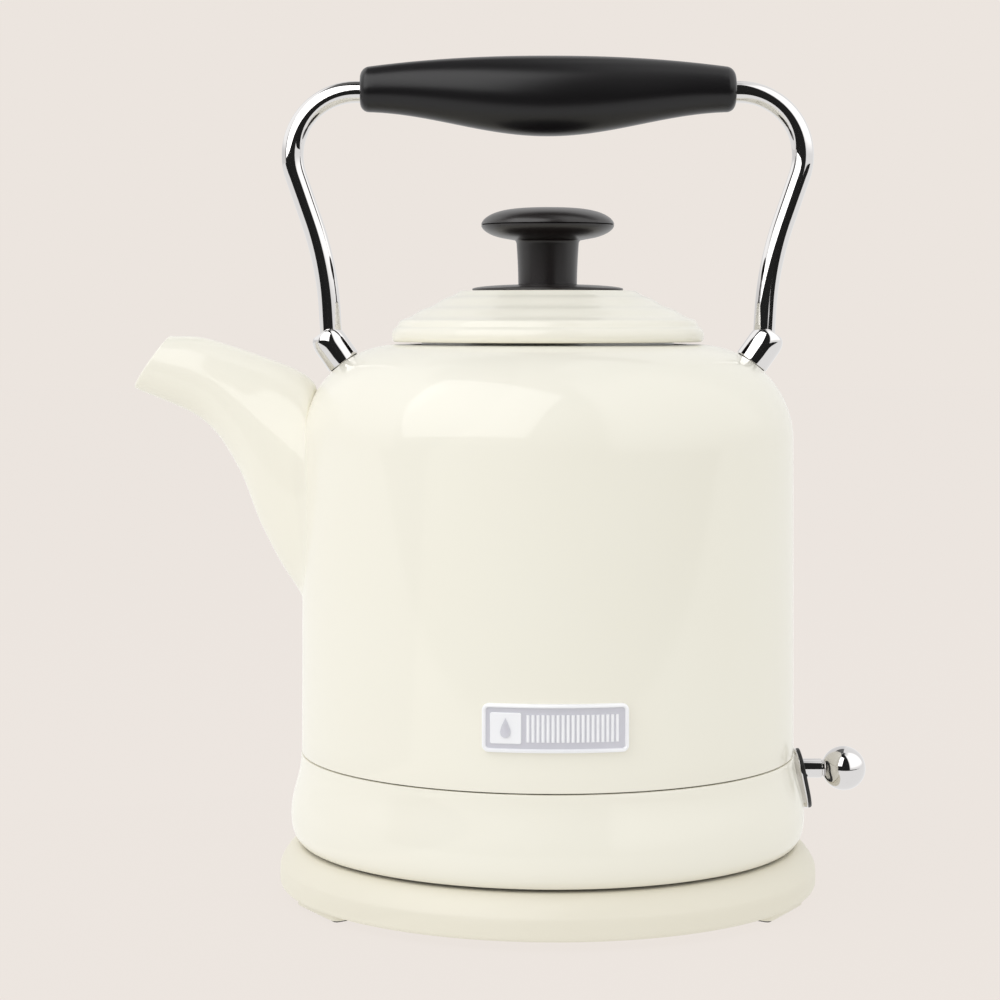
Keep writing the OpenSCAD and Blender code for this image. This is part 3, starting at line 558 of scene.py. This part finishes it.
ball_outline = [(ball_r * math.sin(a), ball_x - ball_r * math.cos(a))
                for a in [math.pi * i / 48 for i in range(49)]]
ball_outline[0], ball_outline[-1] = (0, ball_x - ball_r), (0, ball_x + ball_r)
lever_ball = turned("lever_ball_chrome", ball_outline, chrome, 64, lever_frame)
fixed(lever_ball, "switch_lever", "chrome_plate", "lever_ball")


# ---- Badge ---------------------------------------------------------------------------------------
# A small curved plate on the front: a bright silver frame round a satin panel. The panel carries a raised
# square with a plain drop on it, and a row of upright flutes.

badge_w, badge_h, badge_z = 46.3, 15.4, 68.8
badge_skin = body_r - 0.1


def on_badge(u, v, height):
    """A point u mm along and v mm up the badge, and height mm off the body's side."""
    a = u / badge_skin
    r = badge_skin + height
    return (r * math.sin(a), -r * math.cos(a), badge_z + v)


def badge_ring(inset, height, corner=2.2, w=badge_w, h=badge_h, shift=0.0):
    """A ring of points round a rectangle with round corners, inset and raised by mm."""
    r = max(corner - inset, 0.3)
    half_w, half_h = w / 2 - inset - r, h / 2 - inset - r
    ring = []
    for cx, cz, start in quarters:
        ring += [(cx * half_w + x, cz * half_h + z) for x, z in arc(0, 0, r, start, start + 90, 6)]
        if cz == cx:
            ends = (half_w, -half_w) if cx > 0 else (-half_w, half_w)
            ring += [(ends[0] + (ends[1] - ends[0]) * i / 13, cz * (half_h + r)) for i in range(1, 13)]
    return [on_badge(u + shift, v, height) for u, v in ring]


frame_steps = [(0, -0.3), (0, 0.9), (0.15, 1.35), (0.5, 1.6), (0.9, 1.55), (1.2, 1.25), (1.3, 0.9),
               (1.3, -0.3)]
# Silver foil, hot-stamped on the raised parts: bright, with less of a mirror than plating.
foil = finish_of("silver_foil", "#FAFAFA", "#F3F3F5", 6, 0.4, 0.004, Metallic=0.12, Roughness=0.28)
badge_frame = lofted("badge_frame_silver", [badge_ring(*step) for step in frame_steps], foil, True)
fixed(badge_frame, "kettle", "chrome_plate", "badge_frame")
# Anodised aluminium, brushed across: pale satin grey with a cool cast.
badge_satin = finish_of("anodised_badge", "#D5D4DA", "#CCCBD2", 8, 0.2, 0.01, stretch=(0.1, 0.1, 1),
                        Metallic=0.25, Roughness=0.42)
panel_u, panel_v = badge_w / 2 - 1.25, badge_h / 2 - 1.25
panel_rings = [[on_badge(panel_u * i / 16, v, height)
                for v, height in ((panel_v, -0.3), (-panel_v, -0.3), (-panel_v, 0.8), (panel_v, 0.8))]
               for i in range(-16, 17)]
fixed(lofted("badge_panel_satin", panel_rings, badge_satin), "kettle", "aluminium_plate", "badge_panel")
boss_w, boss_u = 9.8, -15.6
boss_steps = [(0, 0.6), (0, 1.05), (0.2, 1.25)]
boss_rings = [badge_ring(inset, height, 0.6, boss_w, boss_w, boss_u) for inset, height in boss_steps]
boss = lofted("badge_boss", boss_rings, foil)
fixed(boss, "kettle", "chrome_plate")
drop_steps = [(1.0, 1.2), (1.0, 1.5), (0.86, 1.62)]
drop_rings = []
for size, height in drop_steps:
    ring = []
    for i in range(40):
        a = 2 * math.pi * i / 40
        pinch = math.sin(a / 2) ** 1.6
        u = boss_u + 2.3 * size * math.sin(a) * pinch
        ring.append(on_badge(u, 0.2 + 3.2 * size * math.cos(a), height))
    drop_rings.append(ring)
fixed(lofted("badge_drop", drop_rings, badge_satin), "kettle", "aluminium_plate")

flutes, given, result = tree_for("upright_flutes", {
    "Radius": "Float", "Sweep": "Float", "Height": "Float", "Width": "Float", "Count": "Int",
    "Finish": "Material"})
half_sweep = maths(flutes, "MULTIPLY", given["Sweep"], -0.5)
flute_shift = 0.0635
first = maths(flutes, "ADD", half_sweep, flute_shift)
steps_less = maths(flutes, "SUBTRACT", given["Count"], 1.0)
step = maths(flutes, "DIVIDE", given["Sweep"], steps_less)
index = add(flutes, "GeometryNodeInputIndex").outputs[0]
turn = maths(flutes, "MULTIPLY_ADD", index, step, first)
sine = maths(flutes, "SINE", turn)
cosine = maths(flutes, "COSINE", turn)
across = maths(flutes, "MULTIPLY", sine, given["Radius"])
forward = maths(flutes, "MULTIPLY", cosine, given["Radius"])
ahead = maths(flutes, "MULTIPLY", forward, -1.0)
spot = add(flutes, "ShaderNodeCombineXYZ", {0: across, 1: ahead, 2: badge_z * MM}).outputs[0]
spots = add(flutes, "GeometryNodePoints", {"Count": given["Count"], "Position": spot}).outputs[0]
flute = add(flutes, "GeometryNodeMeshCylinder",
            {"Vertices": 16, "Radius": given["Width"], "Depth": given["Height"]}).outputs["Mesh"]
row = add(flutes, "GeometryNodeInstanceOnPoints", {"Points": spots, "Instance": flute}).outputs[0]
real = add(flutes, "GeometryNodeRealizeInstances", {"Geometry": row}).outputs[0]
coated(flutes, real, given["Finish"], result)
flute_row = grown("badge_flutes", flutes, bpy.data.meshes.new("badge_flutes"), {
    "Radius": (badge_skin + 0.75) * MM, "Sweep": 28.0 / badge_skin, "Height": 8.6 * MM, "Width": 0.5 * MM,
    "Count": 19, "Finish": foil}, foil)
fixed(flute_row, "kettle", "chrome_plate")


# ---- Handle --------------------------------------------------------------------------------------
# One chromed steel rod, bent to a high arch, runs through the grip. It ends in two domed ferrules that stand
# on the shoulder over thin black gaskets, each held by a screw from inside.

rod_r, bend_r, past, lean_len, sweep_r, foot_lean = 3.75, 21.8, 19.0, 17.0, 114.0, 3.0
grip_axis_z = 274.7
elbow = Vector((66.0, grip_axis_z - bend_r))


def heading(degrees):
    """The direction at an angle from +X towards +Z."""
    return Vector((math.cos(math.radians(degrees)), math.sin(math.radians(degrees))))


lean_top = elbow + bend_r * heading(-past)
lean_end = lean_top + lean_len * heading(-past - 90)
sweep_middle = lean_end + sweep_r * heading(-past)
tail_top = sweep_middle + sweep_r * heading(180 - foot_lean)
right_half = [elbow + bend_r * heading(a) for a in range(90, -16, -5)]
right_half += [lean_top, (lean_top + lean_end) / 2]
right_half += [sweep_middle + sweep_r * heading(180 - past + (past - foot_lean) * i / 12) for i in range(13)]
right_half += [tail_top + 7 * heading(-90 - foot_lean)]
path = [(-x, z) for x, z in reversed(right_half)] + [(x, z) for x, z in right_half]

sweep, given, result = tree_for("bent_rod", {"Radius": "Float", "Sides": "Int", "Finish": "Material"})
line = add(sweep, "GeometryNodeMeshToCurve", {"Mesh": given["Geometry"]}).outputs[0]
section = add(sweep, "GeometryNodeCurvePrimitiveCircle",
              {"Resolution": given["Sides"], "Radius": given["Radius"]}).outputs["Curve"]
rod = add(sweep, "GeometryNodeCurveToMesh",
          {"Curve": line, "Profile Curve": section, "Fill Caps": True}).outputs[0]
coated(sweep, rod, given["Finish"], result)
rod_line = bpy.data.meshes.new("rod_line")
rod_line.from_pydata([(x * MM, 0, z * MM) for x, z in path], [(i, i + 1) for i in range(len(path) - 1)], [])
handle_rod = grown("handle_rod_chrome", sweep, rod_line,
                   {"Radius": rod_r * MM, "Sides": 48, "Finish": chrome}, chrome)
fixed(handle_rod, "kettle", "chrome_plate", "handle_rod")

tilt = 35.2
ferrule_outline = (
    [(0, 0.5), (5.35, 0.5), (5.35, -0.05), (5.8, -0.05), (5.93, 0.1), (5.95, 0.4), (5.95, 3.2), (5.95, 5.4),
     (5.95, 7.2)]
    + bent((5.94, 7.6), (5.9, 9.9), (5.3, 11.5), (4.3, 12.2), 12)
    + [(4.05, 12.4), (3.8, 12.5), (0, 12.5)]
)
gasket_outline = eased([(0, -0.9), (5.3, -0.9), (5.3, 0.45, 0.2), (0, 0.45)])
for name, node, across in (("left", "ferrule_left", -1), ("right", "ferrule_right", 1)):
    stand = (Matrix.Scale(across, 4, (1, 0, 0))
             @ Matrix.Translation((dome_x + shoulder_r * math.sin(math.radians(tilt)), 0,
                                   shoulder_z + shoulder_r * math.cos(math.radians(tilt))))
             @ Matrix.Rotation(math.radians(tilt), 4, "Y"))
    fixed(turned("ferrule_cap_" + name, ferrule_outline, chrome, 64, stand), "kettle", "chrome_plate", node)
    replaced = ["ferrule_gaskets"] if across > 0 else []
    gasket = turned("ferrule_gasket_" + name, gasket_outline, rubber, 64, stand)
    fixed(gasket, "kettle", "black_rubber", *replaced)

# Grip: black phenolic-look moulding, satin, shaped like a turned wooden one with its belly below the rod.
grip_black = finish_of("satin_black_grip", "#0F0D0F", "#0B0A0B", 18, 0.6, 0.012, Roughness=0.3, IOR=1.43)
grip_half = 64.5


def grip_ring(x, bore=False):
    """A ring of the grip at x, on its outside or round the rod."""
    share = x / grip_half
    top = 287.1 - 4.1 * abs(share) ** 2.2
    low = 263.65 - 4.15 * math.cos(math.pi * share)
    end = max(0.0, (abs(x) - grip_half + 3) / 3)
    shrink = 3 * (1 - math.sqrt(max(0.0, 1 - end * end)))
    middle, half_z = (top + low) / 2, (top - low) / 2 - shrink
    half_y = 7.6 + 4.6 * (1 + math.cos(math.pi * share)) / 2 - shrink
    if bore:
        middle, half_z, half_y = grip_axis_z, rod_r + 0.25, rod_r + 0.25
    turns = [2 * math.pi * j / 64 for j in range(64)]
    return [(x, half_y * math.cos(a), middle + half_z * math.sin(a)) for a in turns]


grip_x = [-grip_half + 3 - 3 * math.cos(math.radians(a)) for a in range(0, 90, 10)]
grip_x += [(2 * i / 56 - 1) * (grip_half - 3) for i in range(57)]
grip_x += [grip_half - 3 + 3 * math.cos(math.radians(a)) for a in range(80, -1, -10)]
grip_rings = [grip_ring(x) for x in grip_x]
grip_rings += [grip_ring(x, True) for x in (grip_half - 0.6, 0, 0.6 - grip_half)]
fixed(lofted("grip_moulding", grip_rings, grip_black, True), "kettle", "black_plastic", "grip")


# ---- Lid -----------------------------------------------------------------------------------------
# A pressed and enamelled steel cover with a rolled rim and soft concentric ripples. A steel liner under it
# carries a silicone seal, and a screw through the middle holds the knob.

lid_r, lid_z, lid_top_z, flat_r, lid_slope = 53.8, 188.9, 206.4, 30.0, 0.49
lid_outline = (
    [(52, lid_z + 0.2), (52.5, lid_z)]
    + bent((lid_r - 1, lid_z), (lid_r + 0.35, lid_z + 0.6), (lid_r + 0.35, lid_z + 4.2),
           (lid_r - 1.6, lid_z + 5), 14)
    + bent((51.9, lid_z + 5.2), (51.6, lid_z + 5.7), (51.5, lid_z + 6.4), (51, lid_z + 6.95), 4)
    + [(r / 4, lid_top_z - lid_slope * (r / 4 - flat_r)) for r in range(203, int(flat_r * 4), -1)]
    + [(flat_r, lid_top_z), (2.1, lid_top_z), (2.1, lid_top_z - 1.5), (flat_r - 1, lid_top_z - 1.5),
       (50, 194.3), (52, 192.4)]
)
ripple, given, result = tree_for("lid_ripples", {
    "Depth": "Float", "Pitch": "Float", "First": "Float", "Inner": "Float", "Floor": "Float",
    "Finish": "Material"})
spot = add(ripple, "GeometryNodeInputPosition").outputs[0]
parts = add(ripple, "ShaderNodeSeparateXYZ", {0: spot}).outputs
level = add(ripple, "ShaderNodeCombineXYZ", {0: parts[0], 1: parts[1]}).outputs[0]
radius = add(ripple, "ShaderNodeVectorMath", {0: level}, operation="LENGTH").outputs["Value"]
phase = maths(ripple, "SUBTRACT", radius, given["First"])
turns = maths(ripple, "DIVIDE", phase, given["Pitch"])
whole = maths(ripple, "MULTIPLY", turns, 2 * math.pi)
wave = maths(ripple, "COSINE", whole)
dip = maths(ripple, "SUBTRACT", wave, 1.0)
depth = maths(ripple, "MULTIPLY", dip, given["Depth"])
full = maths(ripple, "ADD", given["Inner"], 3 * MM)
fade = add(ripple, "ShaderNodeMapRange",
           {"Value": radius, "From Min": given["Inner"], "From Max": full, "To Min": 0.0, "To Max": 1.0})
drop = maths(ripple, "MULTIPLY", depth, fade.outputs[0])
fade.clamp = True
shift = add(ripple, "ShaderNodeCombineXYZ", {2: drop}).outputs[0]
slope_low = maths(ripple, "MULTIPLY_ADD", radius, -lid_slope, given["Floor"])
on_top = add(ripple, "FunctionNodeCompare", {0: parts[2], 1: slope_low}, operation="GREATER_THAN")
inside = add(ripple, "FunctionNodeCompare", {0: radius, 1: given["First"]}, operation="LESS_THAN")
both = add(ripple, "FunctionNodeBooleanMath", {0: on_top.outputs[0], 1: inside.outputs[0]}, operation="AND")
moved = add(ripple, "GeometryNodeSetPosition",
            {"Geometry": given["Geometry"], "Selection": both.outputs[0], "Offset": shift}).outputs[0]
coated(ripple, moved, given["Finish"], result)
plain_lid = turned("lid_cover_plain", lid_outline, enamel, 192)
lid_cover = grown("lid_cover_enamel", ripple, plain_lid.data.copy(), {
    "Depth": 0.2 * MM, "Pitch": 7.8 * MM, "First": 51.2 * MM, "Inner": flat_r * MM,
    "Floor": (lid_top_z + lid_slope * flat_r - 0.6) * MM, "Finish": enamel}, enamel)
bpy.data.objects.remove(plain_lid)
fixed(lid_cover, "lid", "cream_enamel", "lid_cover")

liner_outline = eased([(0, 178.8), (43.5, 178.8, 1.5), (43.5, 189.6), (51.8, 189.6, 0.3), (51.8, 190.6, 0.3),
                       (42.5, 190.6, 0.5), (42.5, 179.8, 1.0), (0, 179.8)])
fixed(turned("lid_liner_steel", liner_outline, stainless, 128), "lid", "stainless_steel", "lid_liner")
# Silicone: milky, matt and slightly soft-looking.
silicone = finish_of("milky_silicone", "#D8D8D2", "#CFCFC8", 10, 0.8, 0.02, Roughness=0.6, IOR=1.43)
seal_outline = eased([(43.55, 181), (46.7, 183, 0.3), (46.7, 184, 0.3), (43.55, 185.5)])
fixed(turned("lid_seal_ring", seal_outline, silicone, 128), "lid", "silicone_seal", "lid_seal")

# Knob: black moulding in two halves that meet in a fine parting line, on a waisted stem and a low domed disc.
knob_black = finish_of("satin_black_knob", "#171010", "#161413", 12, 0.6, 0.012, Roughness=0.32, IOR=1.53)
disc_z = lid_top_z + 2.2
flange_outline = (
    [(2.05, lid_top_z + 0.05), (25.4, lid_top_z + 0.05), (25.9, lid_top_z + 0.2), (26, lid_top_z + 0.5)]
    + bent((25.9, lid_top_z + 0.8), (24.6, lid_top_z + 1.5), (18, lid_top_z + 2.0), (10.1, disc_z), 12)
    + [(2.05, disc_z)]
)
fixed(turned("knob_flange_disc", flange_outline, knob_black, 128), "lid", "black_plastic", "knob_flange")
knob_r, knob_z, knob_top_z = 22.9, 223.6, 235.0
part_z = knob_z + 0.48 * (knob_top_z - knob_z)


def knob_point(a):
    """A point of the knob's outline at an angle, from -90 below to 90 at its crown."""
    rise = (part_z - knob_z) if a < 0 else (knob_top_z - part_z)
    s, c = math.sin(math.radians(a)), max(0.0, math.cos(math.radians(a)))
    return (knob_r * c ** 0.62, part_z + math.copysign(rise * abs(s) ** 1.1, s))


stem_outline = ([(0, disc_z + 0.05), (10.1, disc_z + 0.05)]
                + bent((10.15, disc_z + 2), (10.2, disc_z + 6), (10.5, knob_z - 4), (10.7, knob_z - 1.2), 8)
                + bent((10.75, knob_z - 0.8), (10.9, knob_z), (11.2, knob_z + 0.2), (11.8, knob_z + 0.25), 4)
                + [knob_point(a) for a in range(-56, -1, 3)]
                + [(knob_r - 0.1, part_z - 0.12), (knob_r - 0.45, part_z - 0.03), (0, part_z - 0.03)])
fixed(turned("knob_stem_moulding", stem_outline, knob_black, 128), "lid", "black_plastic", "knob_stem")
cap_outline = ([(0, part_z + 0.1), (knob_r - 0.5, part_z + 0.1), (knob_r - 0.12, part_z + 0.18)]
               + [knob_point(a) for a in range(3, 88, 3)] + [(0, knob_top_z)])
fixed(turned("knob_cap_moulding", cap_outline, knob_black, 128), "lid", "black_plastic", "knob_cap")


# ---- Spout filter --------------------------------------------------------------------------------
# A black moulded ring with a tab to pull it by clips behind the pour hole and holds a fine woven steel mesh.

kept("filter_frame", black_abs)
mesh_x, mesh_r, mesh_pitch, wire_r = -79.7, 12.9, 1.0, 0.15
weave, given, result = tree_for("filter_weave", {
    "Radius": "Float", "Pitch": "Float", "Wire": "Float", "Finish": "Material"})
span = maths(weave, "MULTIPLY", given["Radius"], 2.0)
share = maths(weave, "DIVIDE", span, given["Pitch"])
count = maths(weave, "ADD", share, 1.0)
grid = add(weave, "GeometryNodeMeshGrid",
           {"Size X": span, "Size Y": span, "Vertices X": count, "Vertices Y": count}).outputs["Mesh"]
spot = add(weave, "GeometryNodeInputPosition").outputs[0]
away = add(weave, "ShaderNodeVectorMath", {0: spot}, operation="LENGTH").outputs["Value"]
outside = add(weave, "FunctionNodeCompare", {0: away, 1: given["Radius"]},
              operation="GREATER_THAN").outputs[0]
disc = add(weave, "GeometryNodeDeleteGeometry", {"Geometry": grid, "Selection": outside}).outputs[0]
wires = add(weave, "GeometryNodeMeshToCurve", {"Mesh": disc}).outputs[0]
section = add(weave, "GeometryNodeCurvePrimitiveCircle",
              {"Resolution": 6, "Radius": given["Wire"]}).outputs["Curve"]
woven = add(weave, "GeometryNodeCurveToMesh", {"Curve": wires, "Profile Curve": section}).outputs[0]
upright = add(weave, "GeometryNodeTransform", {"Geometry": woven, "Rotation": (0, math.pi / 2, 0),
                                               "Translation": (mesh_x * MM, 0, pour_hole_z * MM)}).outputs[0]
coated(weave, upright, given["Finish"], result)
filter_mesh = grown("filter_wire_mesh", weave, bpy.data.meshes.new("filter_wire_mesh"), {
    "Radius": mesh_r * MM, "Pitch": mesh_pitch * MM, "Wire": wire_r * MM, "Finish": stainless}, stainless)
fixed(filter_mesh, "spout_filter", "stainless_steel", "filter_mesh")


# ---- Studio --------------------------------------------------------------------------------------
# A white table in front of a pale backdrop, with a large softbox close above the front left. White boards
# stand at the sides. The room in front of the table and overhead is dark, which draws the black lines in the
# chrome.

backdrop = "#ECE5DF"
floor_mesh = bpy.data.meshes.new("floor")
reach = 6.0
floor_mesh.from_pydata([(-reach, -reach, 0), (reach, -reach, 0), (reach, reach, 0), (-reach, reach, 0)], [],
                       [(0, 1, 2, 3)])
floor = bpy.data.objects.new("floor", floor_mesh)
scene.collection.objects.link(floor)
floor_paint = bpy.data.materials.new("seamless_paper")
floor_paint.use_nodes = True
tree = floor_paint.node_tree
tree.nodes.clear()
ahead = add(tree, "ShaderNodeSeparateXYZ", {0: add(tree, "ShaderNodeTexCoord").outputs["Object"]}).outputs[1]
dark_until, light_from = -0.50, -0.47
table = add(tree, "ShaderNodeMapRange", {"Value": ahead, "From Min": dark_until, "From Max": light_from,
                                         "To Min": 0.02, "To Max": 1.15}).outputs[0]
rays = add(tree, "ShaderNodeLightPath").outputs
mirrored = add(tree, "ShaderNodeEmission", {"Color": linear("#F0F0F0"), "Strength": table}).outputs[0]
bounced = add(tree, "ShaderNodeEmission", {"Color": linear("#FBFAF8"), "Strength": 0.91}).outputs[0]
glow = add(tree, "ShaderNodeEmission", {"Color": linear(backdrop), "Strength": 1.0}).outputs[0]
matt = add(tree, "ShaderNodeBsdfDiffuse", {"Color": linear(backdrop)}).outputs[0]
paper = add(tree, "ShaderNodeMixShader", {0: 0.05, 1: glow, 2: matt}).outputs[0]
unseen = add(tree, "ShaderNodeMixShader", {0: rays["Is Glossy Ray"], 1: bounced, 2: mirrored}).outputs[0]
both = add(tree, "ShaderNodeMixShader", {0: rays["Is Camera Ray"], 1: unseen, 2: paper}).outputs[0]
# The table's underside lets the view through, so that the feet can be seen from below.
under = add(tree, "ShaderNodeNewGeometry").outputs["Backfacing"]
clear = add(tree, "ShaderNodeBsdfTransparent").outputs[0]
two_sided = add(tree, "ShaderNodeMixShader", {0: under, 1: both, 2: clear}).outputs[0]
add(tree, "ShaderNodeOutputMaterial", {"Surface": two_sided})
floor_mesh.materials.append(floor_paint)

# Each lamp has one job. The softbox's face shows only in mirror reflections, where the enamel turns it white.
# A weaker lamp in the same place lights the surfaces, and another beside the left board brightens that side.
across, up = Vector((0.657, -0.746, 0.115)), Vector((0.309, 0.405, 0.861))
away = Vector((-0.688, -0.530, 0.496))
softbox_at = Matrix.Translation((-0.320, -0.430, 0.689)) @ Matrix((across, up, away)).transposed().to_4x4()
bounce_from, body_middle = Vector((-0.62, -0.30, 0.43)), Vector((0, 0, 0.12))
facing_body = bounce_from.to_track_quat("Z", "Y").to_matrix().to_4x4()
bounce_at = Matrix.Translation(bounce_from + body_middle) @ facing_body
lamp_w, lamp_h = 0.84, 0.86
lamps = (
    ("softbox_face", 5.8, True, softbox_at),
    ("softbox_light", 4.2, False, softbox_at),
    ("left_bounce", 1.25, False, bounce_at),
)
for name, watts, in_mirrors, place in lamps:
    panel_light = bpy.data.lights.new(name, "AREA")
    panel_light.shape = "RECTANGLE"
    panel_light.size, panel_light.size_y, panel_light.energy = lamp_w, lamp_h, watts
    lamp = bpy.data.objects.new(name, panel_light)
    lamp.matrix_world = place
    lamp.visible_camera, lamp.visible_glossy, lamp.visible_diffuse = False, in_mirrors, not in_mirrors
    scene.collection.objects.link(lamp)

world = bpy.data.worlds.new("studio")
scene.world = world
world.use_nodes = True
tree = world.node_tree
tree.nodes.clear()
direction = add(tree, "ShaderNodeTexCoord").outputs["Generated"]
parts = add(tree, "ShaderNodeSeparateXYZ", {0: direction}).outputs
front = maths(tree, "MULTIPLY", parts[1], -1.0)
bearing = maths(tree, "ARCTAN2", parts[0], front)
rise = maths(tree, "ARCSINE", parts[2])


def edge(value, start, end):
    """0 before start and 1 after end, both in degrees, with a smooth step between them."""
    node = add(tree, "ShaderNodeMapRange", {"Value": value, "From Min": math.radians(start),
                                            "From Max": math.radians(end)}, interpolation_type="SMOOTHSTEP")
    return node.outputs[0]


def panel(light, bearings, rises, soft, level):
    """Lays a soft-edged panel of white light over what is there, between two bearings and two heights."""
    mask = None
    for value, (low, high) in ((bearing, bearings), (rise, rises)):
        for step in (edge(value, low - soft, low + soft), edge(value, high + soft, high - soft)):
            mask = step if mask is None else maths(tree, "MULTIPLY", mask, step)
    return add(tree, "ShaderNodeMix", {0: mask, 6: light, 7: (level, level, level, 1)},
               data_type="RGBA").outputs[2]


room = add(tree, "ShaderNodeRGB")
room.outputs[0].default_value = linear("#ECEBEB")
light = panel(room.outputs[0], (-200, 200), (50, 95), 3, 0.15)
light = panel(light, (-76, 27), (-40, 95), 3, 0.02)
light = panel(light, (-150, -80), (10, 58), 4, 1.2)
light = panel(light, (27, 168), (-40, 82), 3, 0.98)
light = panel(light, (29, 118), (9, 72), 6, 1.5)
rays = add(tree, "ShaderNodeLightPath").outputs
seen = add(tree, "ShaderNodeBackground", {"Color": linear(backdrop), "Strength": 1.0}).outputs[0]
mirrored = add(tree, "ShaderNodeBackground", {"Color": light, "Strength": 1.0}).outputs[0]
ambient = add(tree, "ShaderNodeBackground", {"Color": linear("#FBFCFF"), "Strength": 0.975}).outputs[0]
unseen = add(tree, "ShaderNodeMixShader", {0: rays["Is Glossy Ray"], 1: ambient, 2: mirrored}).outputs[0]
both = add(tree, "ShaderNodeMixShader", {0: rays["Is Camera Ray"], 1: unseen, 2: seen}).outputs[0]
add(tree, "ShaderNodeOutputWorld", {"Surface": both})
scene.view_settings.view_transform = "Standard"

lens = bpy.data.cameras.new("camera")
lens.lens, lens.sensor_width = 90.0, 36.0
lens.shift_x, lens.shift_y = 0.0316, -0.0957
lens.clip_start, lens.clip_end = 0.01, 50.0
camera = bpy.data.objects.new("camera", lens)
camera.location = Vector((-27.3, -862.5, 197.4)) * MM
camera.rotation_euler = (math.radians(90 - 2), 0, 0)
scene.collection.objects.link(camera)
scene.camera = camera
